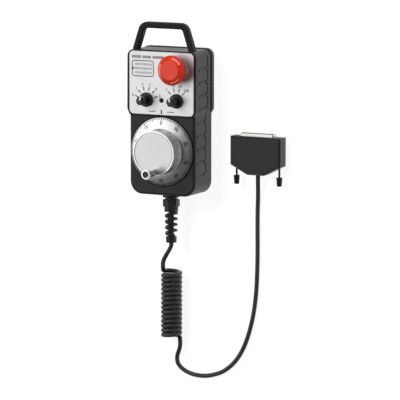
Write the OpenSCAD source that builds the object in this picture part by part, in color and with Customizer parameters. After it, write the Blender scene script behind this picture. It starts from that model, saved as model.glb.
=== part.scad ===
// Handheld pulse generator: a pendant with a manual pulse handwheel, two rotary selectors,
// an emergency stop and an enable button, on a curly cord that ends in a 25-way D-sub plug.
// It lies on its back. X is its width, Y its length towards the carry handle, Z goes out of
// its front. The origin is where the handwheel's axis meets the back face. Millimetres.

/* [Case] */
// Front face of the grip above the back face
grip_h = 38.4; // [34:0.1:48]
// Rim of the head above the front face of the grip
head_step = 2.0; // [1:0.1:4]
// How far the head stands out past the grip on each side
shoulder_w = 2.1; // [1:0.1:4]
// Length of the taper between grip and head
shoulder_l = 5; // [3:0.1:8]
// Length of the head above the taper
head_l = 60.2; // [58:0.1:80]
// Case wall beside the handwheel
side_margin = 1.9; // [1.5:0.1:12]
// Case below the handwheel
tail_margin = 9.8; // [8:0.1:20]
// Gap between the handwheel and the start of the head
head_gap = 1.5; // [1.2:0.1:4]
// Wall thickness of the shells
wall = 2.6; // [2.1:0.1:3.2]
// Depth of the rear cover
cover_d = 6.5; // [5.4:0.1:8]
// How far the rear cover stands out past the head
cover_flare = 0.8; // [0.3:0.1:1.5]
// Corner radius at the tail
tail_r = 13; // [8:0.5:18]
// Corner radius at the top of the head
head_r = 7; // [5:0.5:10]
// Rounding of the front edges
edge_r = 2.4; // [1:0.1:2.9]

/* [Side grooves] */
// Distance from one grip groove to the next
groove_pitch = 13.35; // [12:0.05:16]
// Width of a groove
groove_w = 1.3; // [0.5:0.1:1.4]
// Depth of a groove
groove_deep = 0.8; // [0.3:0.1:0.9]
// Level at which the grooves run along the case
groove_low = 14.4; // [12:0.1:18]
// How far a groove climbs towards the front
groove_climb = 18.1; // [10:0.1:19]

/* [Face panel] */
// Width of the head rim beside the panel
panel_margin = 2.15; // [1.5:0.05:4]
// Thickness of the panel plate
panel_t = 1.2; // [0.8:0.1:2]
// Depth of the panel's face below the head rim
panel_drop = 0.4; // [0.2:0.1:1]
// Corner radius of the panel
panel_r = 4.8; // [3:0.1:6]

/* [Handwheel] */
// Diameter of the graduated disc
wheel_d = 69; // [62:0.5:90]
// Gap between the disc and the case front
wheel_gap = 0.5; // [0.3:0.1:2]
// Thickness of the disc at its rim
rim_t = 1.5; // [1.2:0.1:3]
// Rise of the graduated cone from rim to boss
cone_rise = 2.6; // [1:0.1:5]
// Diameter of the boss
boss_d = 45.4; // [40:0.1:56]
// Height of the boss face above the case front
boss_h = 18.8; // [16:0.1:26]
// Diameter of the cap plate in the boss
cap_d = 42.4; // [30:0.1:52]
// Thickness of the cap plate
cap_t = 0.6; // [0.4:0.1:1.2]

/* [Spinner] */
// Distance of the spinner from the handwheel's axis
spinner_offset = 19.2; // [15:0.1:24]
// Diameter of the spinner's flared tip
spinner_d = 10.3; // [8:0.1:13]
// Length of the spinner
spinner_l = 16.4; // [13:0.1:22]

/* [Encoder] */
// Outer diameter of the encoder
encoder_d = 56; // [50:0.5:60]
// Depth of the encoder behind the case wall
encoder_l = 21.8; // [19:0.1:22.5]
// Diameter of the pilot that fills the case opening
pilot_d = 44; // [38:0.5:45]
// Diameter of the encoder shaft
shaft_d = 6; // [5:0.1:7.4]
// Outer diameter of the shaft bearings
bearing_d = 13; // [11:0.1:16]
// Width of one shaft bearing
bearing_w = 5; // [4:0.1:6]
// Pulses for one turn
pulses = 100; // [25, 50, 100]

/* [Selectors] */
// Distance of each selector from the centre line
selector_x = 16.9; // [14:0.1:20]
// Height of the selectors above the lower edge of the panel
selector_up = 15; // [13:0.1:20]
// Diameter of a knob's skirt
skirt_d = 14.6; // [13:0.1:18]
// Height of a knob above the panel
knob_h = 15; // [12:0.1:20]
// Width of a knob's grip bar
bar_w = 8.2; // [6:0.1:8.6]
// Length of a knob's grip bar
bar_l = 8.8; // [8.8:0.1:13]
// Diameter of the selector shafts
spindle_d = 4; // [3:0.1:4.8]
// Clockwise turn of the axis selector from straight up
axis_turn = 15; // [-75:30:75]
// Clockwise turn of the scale selector from straight up
scale_turn = -15; // [-45:30:45]

/* [Emergency stop] */
// Distance of the stop button from the centre line
estop_x = 17.3; // [15:0.1:20]
// Height of the stop button above the lower edge of the panel
estop_up = 46.8; // [46:0.1:56]
// Diameter of the mushroom head
estop_d = 30; // [26:0.1:36]
// Diameter of the flat on the mushroom head
estop_face_d = 19; // [14:0.1:24]
// Height of the mushroom head above the panel
estop_h = 16.5; // [15:0.1:22]
// Depth of the mushroom head
estop_head_h = 10.3; // [9:0.1:11]
// Diameter of the stop button's panel hole
estop_hole_d = 22.3; // [20:0.1:24]
// Travel of the stop button
estop_travel = 4; // [2:0.1:4.6]

/* [Pilot lamp] */
// Diameter of the pilot lamp's lens
lens_d = 4.6; // [3:0.1:6]

/* [Enable button] */
// Height of the enable button's centre above the lower edge of the panel
enable_up = 46.6; // [42:0.1:50]
// Length of the enable button
enable_l = 17.1; // [13:0.1:20]
// Width of the enable button
enable_w = 8.6; // [7:0.1:11]
// How far the enable button stands out of the side
enable_proud = 1.2; // [0.8:0.1:3]
// Travel of the enable button
enable_travel = 1.5; // [0.5:0.1:1.7]

/* [Carry handle] */
// Height of the handle above the head
handle_h = 27.6; // [20:0.1:40]
// Distance between the centre lines of the legs where they leave the head
handle_base = 62.4; // [56:0.1:64]
// Distance between the centre lines of the legs where they meet the bar
handle_top = 46.4; // [36:0.1:60]
// Thickness of the bar and the legs across the opening
handle_t = 6.3; // [5:0.1:8]
// Depth of the bar and the legs
handle_d = 8; // [6:0.1:9]
// Centre of the handle above the back face
handle_z = 33; // [28:0.1:34]

/* [Gland] */
// Centre of the gland above the back face
gland_z = 18.4; // [17:0.1:22]
// Width of the gland's hexagons across their flats
gland_af = 14.8; // [13.8:0.1:20]
// Turn of the hexagons about the gland's axis
gland_turn = 27; // [0:1:60]
// Diameter of the gland's thread
gland_d = 12; // [11:0.1:12.6]
// Length of the cap nut's hexagon
gland_hex_l = 7.3; // [5:0.1:10]
// Pitch of the spiral strain relief
relief_pitch = 5.8; // [5:0.1:7]
// Turns of the spiral strain relief
relief_turns = 4; // [3:1:6]

/* [Cord] */
// Diameter of the cord
cord_d = 4.5; // [4:0.1:5]
// Outer diameter of the curly cord
coil_d = 21.8; // [18:0.1:26]
// Length of the curly cord as it lies
coil_l = 79; // [60:0.5:88]

/* [Plug] */
// Width of the plug's hood
hood_w = 55.2; // [53:0.1:62]
// Depth of the plug's hood
hood_t = 15.6; // [14:0.1:20]
// Length of the hood from its mating face to where its sides turn in
hood_side_l = 28.8; // [24:0.1:36]
// Length of the part of the hood that narrows to the cord
hood_taper_l = 9.5; // [8:0.1:14]
// Width of the hood where the cord goes in
hood_nose_w = 18; // [14:0.1:24]
// Wall of the hood
hood_wall = 1.8; // [1.4:0.1:2.2]
// Width of the connector shell
shell_w = 38.4; // [38:0.1:42]
// Height of the connector shell
shell_h = 7.9; // [7.8:0.1:9]
// How far the connector shell stands out of the hood
shell_out = 2.9; // [2.6:0.1:7]
// Distance between the two jackscrews
jack_pitch = 47.04; // [47:0.02:49]
// How far the jackscrews slide
jack_travel = 6; // [3:0.1:6.2]

/* [Fits] */
// Clearance all round a shaft that turns or slides in its bore
running = 0.03; // [0.02:0.01:0.08]
// Clearance round pieces that are put together by hand
slip = 0.3; // [0.2:0.05:0.4]

/* [Hidden] */
$fn = 48;
eps = 0.01;

// Case outline
grip_w = wheel_d + 2 * side_margin;
head_w = grip_w + 2 * shoulder_w;
tail_y = -wheel_d / 2 - tail_margin;
head_y = wheel_d / 2 + head_gap;
full_y = head_y + shoulder_l;
top_y = full_y + head_l;
head_h = grip_h + head_step;
boss_r = 3.4;

// Face panel
panel_z = head_h - panel_drop;
panel_seat = panel_z - panel_t;
panel_w = head_w - 2 * panel_margin;
panel_low = head_y + 0.4;
panel_top = top_y - 1;
head_inside = panel_seat - wall;
grip_inside = grip_h - wall;

// Case screws and the handle's sockets
cover_screw_r = 1.5;
cover_head_r = 2.8;
tail_screw = [grip_w / 2 - tail_r + 5.4, tail_y + tail_r - 5.4];
top_screw = [head_w / 2 - wall - boss_r - 0.8, top_y - wall - boss_r + 1.8];
cover_screw_xy = [
    [tail_screw[0], tail_screw[1]], [-tail_screw[0], tail_screw[1]],
    [top_screw[0], top_screw[1]], [-top_screw[0], top_screw[1]]
];
cover_screw_top = 20;
boss_top = cover_screw_top + 3;
tenon_w = handle_t - 0.9;
tenon_d = handle_d - 2.4;
tenon_l = 4.8;
pad_floor = 2;
pad_l = tenon_l + slip + pad_floor - wall;

// Handwheel and encoder stack, from the case front
wheel_z = grip_h + wheel_gap;
rim_z = wheel_z + rim_t;
cone_z = rim_z + cone_rise;
boss_z = grip_h + boss_h;
cap_z = boss_z - cap_t;
boss_wall = 2.4;
boss_top_t = 3;
hub_r = 7.5;
hub_z = wheel_z + 2.2;
shaft_r = shaft_d / 2;
shaft_top = boss_z - cap_t - boss_top_t - 1.2;
pilot_top = grip_h - 0.4;
encoder_low = grip_inside - encoder_l;
flange_t = 2;
bearing_r = bearing_d / 2;
front_bearing_z = pilot_top - 1 - bearing_w;
rear_bearing_z = front_bearing_z - bearing_w - 3.4;
disc_z = encoder_low + 4.6;
disc_t = 0.8;
disc_r = encoder_d / 2 - 8;
encoder_screw_r = (encoder_d + pilot_d) / 4;

// Spinner
spinner_r = spinner_d / 2;
spinner_low = boss_z + 0.4;
spinner_top = spinner_low + spinner_l;
spinner_screw_r = 2;
spinner_head_r = 3.1;
spinner_collar_r = 3.4;
spinner_seat = spinner_top - 4.8;

// Selectors
selector_y = panel_low + selector_up;
spindle_r = spindle_d / 2;
bush_r = spindle_r + 1.5;
bush_top = panel_z + 2.4;
switch_nut_af = 2 * bush_r + 2.2;
switch_nut_t = 1.6;
switch_r = 8.6;
switch_l = 13.5;
knob_top = panel_z + knob_h;
skirt_low = panel_z + 0.4;
skirt_h = 3.4;
spindle_top = knob_top - 4.5;

// Emergency stop
estop_y = panel_low + estop_up;
estop_top = panel_z + estop_h;
estop_low = estop_top - estop_head_h;
estop_r = estop_d / 2;
barrel_r = estop_hole_d / 2 - 0.25;
barrel_low = head_inside - 12;
estop_flange_r = min(estop_r - 2, barrel_r + 1.8);
seal_t = 0.8;
bezel_top = min(panel_z + seal_t + 1.4, estop_low - estop_travel);
plunger_r = 6.5;
stem_r = 4;
block_w = 20;
block_low = barrel_low - 15;
block_floor = block_low + 4;
plunger_low = block_floor + estop_travel + 1.6;
spring_wire = 0.7;
spring_r = 4.6;
spring_turns = 3.5;

// Enable button
enable_y = panel_low + enable_up;
enable_z = 20;
side_in = head_w / 2 - wall;
button_back = side_in - 2.6;
retainer_l = 4.4;

// Carry handle
handle_bend = 6.5;

// Main board
board_z = 9.6;
board_t = 1.6;
board_screw_xy = [for (x = [-21, 21], y = [tail_y + 22.5, head_y - 9]) [x, y]];

// Gland, from the tail of the case outwards
gland_flange_t = 4;
gland_neck_l = 2;
gland_thread_in = 4;
gland_collar_l = 5;
gland_seal_t = 0.8;
locknut_t = 4;
cap_y = tail_y - gland_flange_t - gland_neck_l;
relief_l = relief_pitch * relief_turns + 2.2;
relief_end_l = 6;
cap_l = gland_hex_l + gland_collar_l;
relief_end = cap_y - cap_l - relief_l - relief_end_l;
relief_core_r = cord_d / 2 + 0.5;
cord_bore_r = cord_d / 2 + 0.05;

// Cord. The lead goes from the strain relief to the curl, the tail from the curl to the plug.
coil_r = coil_d / 2;
coil_mean_r = (coil_d - cord_d) / 2;
coil_x = -3.5;
coil_z = coil_r + 0.05;
coil_end = -197.5;
coil_y = coil_end + coil_l;
lie_z = cord_d / 2 + 0.05;
plug_z = hood_t / 2;
lead_end = [coil_x - 0.855 * coil_mean_r, coil_z + 0.525 * coil_mean_r];
// Part of the way to the curl, along the case, across it and down
lead_steps = [
    [0, 0, 0], [0.12, 0, 0], [0.3, 0.19, 0.075], [0.465, 0.44, 0.275], [0.63, 0.7, 0.55],
    [0.775, 0.9, 0.825], [0.905, 1, 1], [1, 1, 1]
];
lead_route = [
    for (p = lead_steps) [
        p[1] * lead_end[0], relief_end + p[0] * (coil_y - relief_end),
        gland_z + p[2] * (lead_end[1] - gland_z)
    ]
];
tail_start = [coil_x + 0.89 * coil_mean_r, coil_z - 0.468 * coil_mean_r];
tail_plan = [
    [3.2, -203.4], [1, -207.6], [-0.9, -211.4], [-1.5, -215.8], [-0.4, -220.2], [3.2, -224],
    [8.6, -227.2], [15.2, -229.4], [23.2, -230.4], [32, -230], [40.7, -228], [49.7, -224.4],
    [57.5, -219], [64.5, -212], [70.3, -203.6], [75.1, -194], [78.9, -183.6], [81.9, -173],
    [84.3, -162], [86, -151], [87.2, -139.4], [87.9, -127.4], [88.3, -115], [88.5, -102.4],
    [88.5, -90], [88.4, -78], [88.4, -66.6], [88.6, -56], [89.3, -46.4], [90.3, -37.4],
    [91.1, -29.4], [91.4, -24.4], [91.4, -21.4]
];
tail_drop = [0.85, 0.47, 0.16, 0.03];
tail_rise = [0.02, 0.18, 0.53, 0.87, 1, 1];
tail_route = concat(
    [[tail_start[0], coil_end, tail_start[1]], [tail_start[0], coil_end - 2.5, tail_start[1]]],
    [
        for (i = [0:len(tail_plan) - 1])
            let (p = tail_plan[i], k = i - len(tail_plan) + len(tail_rise),
                 drop = i < len(tail_drop) ? tail_drop[i] * (tail_start[1] - lie_z) : 0,
                 rise = k < 0 ? 0 : tail_rise[k] * (plug_z - lie_z))
                [p[0], p[1], lie_z + drop + rise]
    ]
);

// Plug
plug_end = tail_route[len(tail_route) - 1];
plug_x = plug_end[0];
hood_low = plug_end[1];
hood_turn = hood_low + hood_taper_l;
hood_top = hood_turn + hood_side_l;
hood_chamfer = 1.8;
shell_top = hood_top + shell_out;
shell_t = 0.5;
face_t = 2.5;
flange_y = hood_top - face_t - 1;
shell_slope = tan(10);
pin_pitch = 2.77;
pin_row = 2.84;
contact_l = 14;
jack_x = jack_pitch / 2;
jack_rod_r = 1.05;
jack_tip_r = 1.42;
jack_tip_l = 8.4;
jack_tip = hood_top - 1.5;
jack_head_top = hood_low - 1.6;
jack_head_l = 8.8;
washer_r = min(2.5, hood_w / 2 - hood_wall - jack_x - 0.1);
washer_t = 0.8;
washer_y = jack_tip - jack_tip_l - washer_t;
hood_screw = [13, 8.6];
hood_screw_r = 1.2;

// Points of an arc about (x, y), n steps from angle a to angle b
function arc(x, y, r, a, b, n) =
    [for (i = [0:n]) [x + r * cos(a + (b - a) * i / n), y + r * sin(a + (b - a) * i / n)]];
function unit(v) = v / norm(v);
function heading(path, i) = unit(path[min(i + 1, len(path) - 1)] - path[max(i - 1, 0)]);

// Tube of elliptical section swept along a path: ra across, rb towards up
module swept(path, ra, rb, sides, up) {
    n = len(path);
    points = [
        for (i = [0:n - 1])
            let (t = heading(path, i), s = unit(cross(t, up)), w = cross(s, t))
                for (k = [0:sides - 1])
                    path[i] + ra * cos(360 * k / sides) * s + rb * sin(360 * k / sides) * w
    ];
    sides_faces = [
        for (i = [0:n - 2], k = [0:sides - 1])
            let (a = i * sides + k, b = i * sides + (k + 1) % sides)
                each [[a, b, a + sides], [b, b + sides, a + sides]]
    ];
    ends = [
        [for (k = [0:sides - 1]) sides - 1 - k],
        [for (k = [0:sides - 1]) (n - 1) * sides + k]
    ];
    polyhedron(points, concat(ends, sides_faces), convexity = 8);
}

// Post with a rounded top edge, for hulls
module soft_post(r, h, e) {
    rotate_extrude($fn = 32)
        polygon(concat([[0, 0], [r, 0]], arc(r - e, h - e, e, 0, 90, 4), [[0, h]]));
}

// Post with a chamfered foot, for hulls
module foot_post(r, h, c) {
    rotate_extrude($fn = 32) polygon([[0, 0], [r - c, 0], [r, c], [r, h], [0, h]]);
}

// Rectangle with round corners, about its centre
module soft_rect(w, l, r) {
    square([w - 2 * r, l], center = true);
    square([w, l - 2 * r], center = true);
    for (x = [-1, 1], y = [-1, 1]) translate([x * (w / 2 - r), y * (l / 2 - r)]) circle(r);
}

// Regular hexagon by its width across the flats
module hexagon(af) {
    circle(af / 2 / cos(30), $fn = 6);
}

// Plan of the case, drawn in by inset
module case_plan(inset) {
    r = tail_r - inset;
    w = grip_w / 2 - inset;
    hr = head_r - inset;
    hw = head_w / 2 - inset;
    for (x = [-1, 1]) {
        translate([x * (w - r), tail_y + inset + r]) circle(r);
        translate([x * (hw - hr), top_y - inset - hr]) circle(hr);
    }
    translate([-w, tail_y + inset + r]) square([2 * w, full_y - tail_y - inset - r]);
    translate([r - w, tail_y + inset]) square([2 * (w - r), r + 1]);
    translate([hr - hw, full_y]) square([2 * (hw - hr), head_l - inset]);
    polygon([
        [-w, head_y], [w, head_y], [hw, full_y], [hw, top_y - inset - hr],
        [-hw, top_y - inset - hr], [-hw, full_y]
    ]);
}

// Holes for the cover screws, on their axes
module at_cover_screws() {
    for (p = cover_screw_xy) translate([p[0], p[1], 0]) children();
}

// One side groove, drawn along the case (x) and up towards the front (y). The first of the grip
// runs out to the shoulder, and the last runs up to the front edge, each without its hook.
module groove_stroke(run, first, last) {
    turn = 4;
    hook = 1.8;
    w = groove_w;
    up = last ? grip_h - edge_r - groove_low : groove_climb - hook;
    translate([turn, -w / 2]) square([run - turn, w]);
    translate([-w / 2, turn]) square([w, up - turn]);
    quarter(turn, turn, turn, w, 180);
    if (!first) {
        quarter(run, hook, hook, w, 270);
        translate([run + hook - w / 2, hook]) square([w, 3]);
    }
    if (!last) {
        quarter(-hook, groove_climb - hook, hook, w, 0);
        translate([-hook - 1.4, groove_climb - w / 2]) square([1.4, w]);
    }
}

// Quarter of a ring about (x, y), starting at an angle
module quarter(x, y, r, w, start) {
    translate([x, y]) rotate(start) intersection() {
        difference() {
            circle(r + w / 2);
            circle(r - w / 2);
        }
        square(r + w);
    }
}

// The grooves of one side, cut to a depth from the grip's wall or the head's; the first crosses
// the shoulder between them
module side_grooves(side) {
    grip_count = floor((head_y - 4 - tail_y - 20) / groove_pitch);
    head_count = side > 0 ? 4 : 2;
    low = head_y - 5.6;
    for (n = [0:grip_count]) side_groove(side, grip_w / 2, low - n * groove_pitch,
                                         n == 0 ? head_y - low : 9.4, n == 0, n == grip_count);
    for (n = [1:head_count])
        side_groove(side, head_w / 2, low + n * groove_pitch + 0.3, 9.4, false, false);
    hull() for (e = [[grip_w / 2, head_y - 0.1], [head_w / 2, full_y], [head_w / 2, full_y + 1]])
        translate([side > 0 ? e[0] - groove_deep : -e[0] + groove_deep - 3, e[1], groove_low - groove_w / 2])
            cube([3, 0.1, groove_w]);
}

module side_groove(side, face, y, run, first, last) {
    translate([side * face, y, groove_low]) multmatrix([
        [0, 0, side, -side * groove_deep], [1, 0, 0, 0], [0, 1, 0, 0], [0, 0, 0, 1]
    ]) linear_extrude(groove_deep + 1.5) groove_stroke(run, first, last);
}

// Front shell: head and grip blocks with soft front edges, hollowed from the back
module front_housing() color("#2e2e2e") {
    foot = 2;
    difference() {
        union() {
            hull() {
                for (x = [-1, 1]) {
                    translate([x * (head_w / 2 - head_r), top_y - head_r, cover_d])
                        soft_post(head_r, head_h - cover_d, 1.6);
                    translate([x * (head_w / 2 - foot), full_y + foot / 2, cover_d])
                        soft_post(foot, head_h - cover_d, 1);
                    translate([x * (grip_w / 2 - foot), head_y + foot - 0.8, cover_d])
                        soft_post(foot, head_h - cover_d, 1);
                }
            }
            hull() {
                for (x = [-1, 1]) {
                    translate([x * (grip_w / 2 - tail_r), tail_y + tail_r, cover_d])
                        soft_post(tail_r, grip_h - cover_d, edge_r);
                    translate([x * (grip_w / 2 - 3), head_y + 1, cover_d])
                        soft_post(3, grip_h - cover_d, edge_r);
                }
            }
        }
        // The inside, deeper under the head than under the grip
        difference() {
            union() {
                translate([0, 0, cover_d - 1]) linear_extrude(grip_inside - cover_d + 1)
                    case_plan(wall);
                translate([0, 0, cover_d - 1]) linear_extrude(head_inside - cover_d + 1)
                    intersection() {
                        case_plan(wall);
                        translate([-head_w / 2, full_y]) square([head_w, head_l]);
                    }
            }
            at_cover_screws() cylinder(r = boss_r, h = boss_top);
            handle_pads();
        }
        // Rabbet for the gasket
        translate([0, 0, cover_d - 1]) linear_extrude(2) difference() {
            case_plan(wall / 2);
            case_plan(wall + 0.1);
        }
        // Seat of the face panel
        translate([0, (panel_low + panel_top) / 2, panel_seat]) linear_extrude(5)
            soft_rect(panel_w + 0.1, panel_top - panel_low + 0.1, panel_r);
        translate([0, 0, grip_inside - 1]) cylinder(r = pilot_d / 2 + running, h = 10);
        for (a = encoder_screw_angles()) rotate(a) translate([encoder_screw_r, 0, 0]) {
            translate([0, 0, grip_inside - 1]) cylinder(r = 1.6, h = 10);
            translate([0, 0, grip_h - 1.6]) cylinder(r1 = 1.6, r2 = 2.7, h = 1.6 + eps);
        }
        for (x = [-1, 1]) translate([x * selector_x, selector_y, head_inside - 1])
            cylinder(r = bush_r + 0.1, h = 10);
        translate([estop_x, estop_y, head_inside - 1]) cylinder(d = estop_hole_d, h = 10);
        translate([0, selector_y, head_inside - 1]) cylinder(r = lens_d / 2 + 0.1, h = 10);
        // Side opening of the enable button
        translate([-head_w / 2 - 1, enable_y - enable_l / 2 - slip, enable_z - enable_w / 2 - slip])
            cube([wall + 2, enable_l + 2 * slip, enable_w + 2 * slip]);
        // Gland hole and the handle's sockets
        translate([0, tail_y - 1, gland_z]) rotate([-90, 0, 0])
            cylinder(d = gland_d + 0.2, h = wall + 2);
        for (x = [-1, 1]) translate([x * handle_base / 2, top_y, handle_z]) {
            translate([0, -(tenon_l + slip) / 2 + 1, 0])
                cube([tenon_w + 0.2, tenon_l + slip + 2, tenon_d + 0.2], center = true);
            rotate([90, 0, 0]) cylinder(r = 1.6, h = tenon_l + slip + pad_floor + 1);
        }
        at_cover_screws() translate([0, 0, cover_d - 2])
            cylinder(r = cover_screw_r, h = boss_top - cover_d);
        for (side = [-1, 1]) side_grooves(side);
    }
}

function encoder_screw_angles() = [30, 150, 270];

// Thickened top wall that carries the handle's sockets
module handle_pads() {
    for (x = [-1, 1]) translate([x * handle_base / 2, top_y - wall, handle_z])
        translate([-handle_t / 2 - 1.5, -pad_l, -handle_d / 2 - 1])
            cube([handle_t + 3, pad_l + 2, handle_d + 10]);
}

// Rear cover: a shallow tray, flared at the head, with posts for the main board
module rear_cover() color("#262626") {
    difference() {
        union() {
            hull() {
                for (x = [-1, 1]) {
                    translate([x * (head_w / 2 - head_r), top_y - head_r, 0])
                        foot_post(head_r + cover_flare, cover_d, 1.5);
                    translate([x * (head_w / 2 - 2), full_y + 1, 0])
                        foot_post(2 + cover_flare, cover_d, 1.5);
                    translate([x * (grip_w / 2 - 2), head_y + 1.2, 0])
                        foot_post(2, cover_d, 1.5);
                }
            }
            hull() {
                for (x = [-1, 1]) {
                    translate([x * (grip_w / 2 - tail_r), tail_y + tail_r, 0])
                        foot_post(tail_r, cover_d, 1.5);
                    translate([x * (grip_w / 2 - 3), head_y + 3, 0]) foot_post(3, cover_d, 1.5);
                }
            }
        }
        difference() {
            translate([0, 0, wall]) linear_extrude(cover_d) case_plan(wall);
            at_cover_screws() cylinder(r = boss_r, h = cover_d);
            for (p = board_screw_xy) translate([p[0], p[1], 0]) cylinder(r = 3, h = cover_d);
        }
        at_cover_screws() {
            translate([0, 0, -1]) cylinder(r = cover_screw_r + 0.2, h = cover_d + 2);
            translate([0, 0, -1]) cylinder(r = cover_head_r + 0.3, h = 3.4);
        }
        for (p = board_screw_xy) translate([p[0], p[1], wall]) cylinder(r = 1.25, h = cover_d);
    }
    for (p = board_screw_xy) translate([p[0], p[1], cover_d]) difference() {
        cylinder(r = 3, h = board_z - cover_d);
        translate([0, 0, -1]) cylinder(r = 1.25, h = cover_d);
    }
}

// Sealing cord in the rabbet between the shells
module cover_gasket() color("#3a3a3c") {
    translate([0, 0, cover_d]) linear_extrude(1) difference() {
        case_plan(wall / 2);
        case_plan(wall);
    }
}

// Pan-head screws that hold the cover, put in from the back
module cover_screws() color("#b9bcc0") {
    at_cover_screws() translate([0, 0, 0.4]) difference() {
        union() {
            cylinder(r = cover_head_r, h = 2);
            cylinder(r = cover_screw_r - 0.02, h = cover_screw_top - 0.4);
        }
        translate([0, 0, -1]) cross_slot(1.6, 2);
    }
}

// Cross recess: two crossed bars
module cross_slot(r, h) {
    for (a = [0, 90]) rotate(a) translate([-r, -0.35, 0]) cube([2 * r, 0.7, h]);
}

// Carry handle: a rounded bar bent into an open trapezoid, with a tenon on each leg
module carry_handle() color("#242424") {
    half_base = handle_base / 2;
    half_top = handle_top / 2;
    bar_y = top_y + handle_h - handle_t / 2;
    lean = atan2(half_base - half_top, bar_y - top_y);
    // Each bend is an arc between the leg and the bar, tangent to both
    reach = handle_bend * tan((90 - lean) / 2);
    cx = half_top - reach;
    cy = bar_y - handle_bend;
    right = concat([[half_base, top_y], [half_base - 5 * tan(lean), top_y + 5]],
                   arc(cx, cy, handle_bend, lean, 90, 6));
    left = [for (i = [len(right) - 1:-1:0]) [-right[i][0], right[i][1]]];
    path = [for (p = concat(right, left)) [p[0], p[1], handle_z]];
    difference() {
        union() {
            handle_bar(path);
            for (x = [-1, 1]) translate([x * half_base, top_y - tenon_l / 2 + 0.25, handle_z])
                cube([tenon_w, tenon_l + 0.5, tenon_d], center = true);
        }
        for (x = [-1, 1]) translate([x * half_base, top_y - tenon_l - 1, handle_z])
            rotate([-90, 0, 0]) cylinder(r = 1.5, h = tenon_l + 4);
    }
}

// Bar of rounded rectangular section along a flat path; the end rings lie across Y
module handle_bar(path) {
    n = len(path);
    e = 1.7;
    a = handle_t / 2;
    b = handle_d / 2;
    section = concat(arc(a - e, b - e, e, 0, 90, 3), arc(e - a, b - e, e, 90, 180, 3),
                     arc(e - a, e - b, e, 180, 270, 3), arc(a - e, e - b, e, 270, 360, 3));
    m = len(section);
    points = [
        for (i = [0:n - 1])
            let (t = i == 0 ? [0, 1, 0] : i == n - 1 ? [0, -1, 0] : heading(path, i),
                 s = cross(t, [0, 0, 1]))
                for (q = section) path[i] + q[0] * s + q[1] * [0, 0, 1]
    ];
    skin = [
        for (i = [0:n - 2], k = [0:m - 1])
            let (p = i * m + k, q = i * m + (k + 1) % m) each [[p, q, p + m], [q, q + m, p + m]]
    ];
    ends = [[for (k = [0:m - 1]) m - 1 - k], [for (k = [0:m - 1]) (n - 1) * m + k]];
    polyhedron(points, concat(ends, skin), convexity = 6);
}

// Screws that pull the handle down from inside the head
module handle_screws() color("#b9bcc0") {
    for (x = [-1, 1])
        translate([x * handle_base / 2, top_y - tenon_l - slip - pad_floor, handle_z])
            rotate([-90, 0, 0]) difference() {
                union() {
                    translate([0, 0, -2.2]) cylinder(r = 2.7, h = 2.2);
                    cylinder(r = 1.48, h = tenon_l + pad_floor + 2.4);
                }
                translate([0, 0, -3]) cross_slot(1.6, 2);
            }
}

// Printed aluminium plate on the head
module face_panel() color("#e8e8e8") {
    translate([0, 0, panel_seat]) linear_extrude(panel_t) difference() {
        translate([0, (panel_low + panel_top) / 2])
            soft_rect(panel_w, panel_top - panel_low, panel_r);
        for (x = [-1, 1]) translate([x * selector_x, selector_y]) circle(bush_r + 0.1);
        translate([estop_x, estop_y]) circle(d = estop_hole_d);
        translate([0, selector_y]) circle(lens_d / 2 + 0.1);
    }
}

// Encoder front: pilot in the case opening, mounting flange and bearing tube in one turning
module encoder_body() color("#8f9398") {
    difference() {
        union() {
            translate([0, 0, grip_inside - flange_t]) cylinder(d = encoder_d, h = flange_t);
            translate([0, 0, grip_inside - flange_t])
                cylinder(d = pilot_d, h = pilot_top - grip_inside + flange_t);
            translate([0, 0, rear_bearing_z])
                cylinder(r = bearing_r + 2.2, h = grip_inside - rear_bearing_z);
        }
        translate([0, 0, rear_bearing_z - 1]) cylinder(r = bearing_r, h = bearing_w + 1);
        translate([0, 0, rear_bearing_z]) cylinder(r = bearing_r - 1.2, h = 30);
        translate([0, 0, front_bearing_z]) cylinder(r = bearing_r, h = 30);
        for (a = encoder_screw_angles()) rotate(a) translate([encoder_screw_r, 0, encoder_low])
            cylinder(r = 1.5, h = 40);
    }
}

// Encoder back: a cup screwed under the flange
module encoder_cover() color("#3b3d40") {
    translate([0, 0, encoder_low]) rotate_extrude() {
        r = encoder_d / 2;
        h = encoder_l - flange_t;
        polygon([[0, 0], [r - 1, 0], [r, 1], [r, h], [r - 1.5, h], [r - 1.5, 1.5], [0, 1.5]]);
    }
}

module encoder_screws() color("#c4c7ca") {
    for (a = encoder_screw_angles()) rotate(a) translate([encoder_screw_r, 0, 0]) difference() {
        union() {
            translate([0, 0, grip_h - 1.7]) cylinder(r1 = 1.46, r2 = 2.35, h = 1.4);
            translate([0, 0, grip_inside - flange_t + 0.2])
                cylinder(r = 1.46, h = wall + flange_t - 1);
        }
        translate([0, 0, grip_h - 1]) cross_slot(1.7, 2);
    }
}

// Two shielded ball bearings, their shields set in
module shaft_bearings() color("#c9ccd0") {
    for (z = [front_bearing_z, rear_bearing_z]) translate([0, 0, z]) rotate_extrude() {
        a = shaft_r + running;
        b = bearing_r - 0.01;
        c = (b - a) * 0.3;
        polygon([
            [a, 0], [a + c, 0], [a + c, 0.3], [b - c, 0.3], [b - c, 0], [b, 0],
            [b, bearing_w], [b - c, bearing_w], [b - c, bearing_w - 0.3],
            [a + c, bearing_w - 0.3], [a + c, bearing_w], [a, bearing_w]
        ]);
    }
}

// Encoder board with the read head that straddles the code disc
module encoder_board() color("#1f6b3a") {
    translate([0, 0, encoder_low + 1.5]) {
        difference() {
            cylinder(r = encoder_d / 2 - 2.2, h = 1.4);
            translate([0, 0, -1]) cylinder(r = shaft_r + 2, h = 4);
        }
        translate([-5, disc_r - 4, 1.4]) difference() {
            cube([10, 8, 5.2]);
            translate([-1, -1, 1.2]) cube([12, 5.6, disc_t + 1.6]);
        }
    }
}

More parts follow.
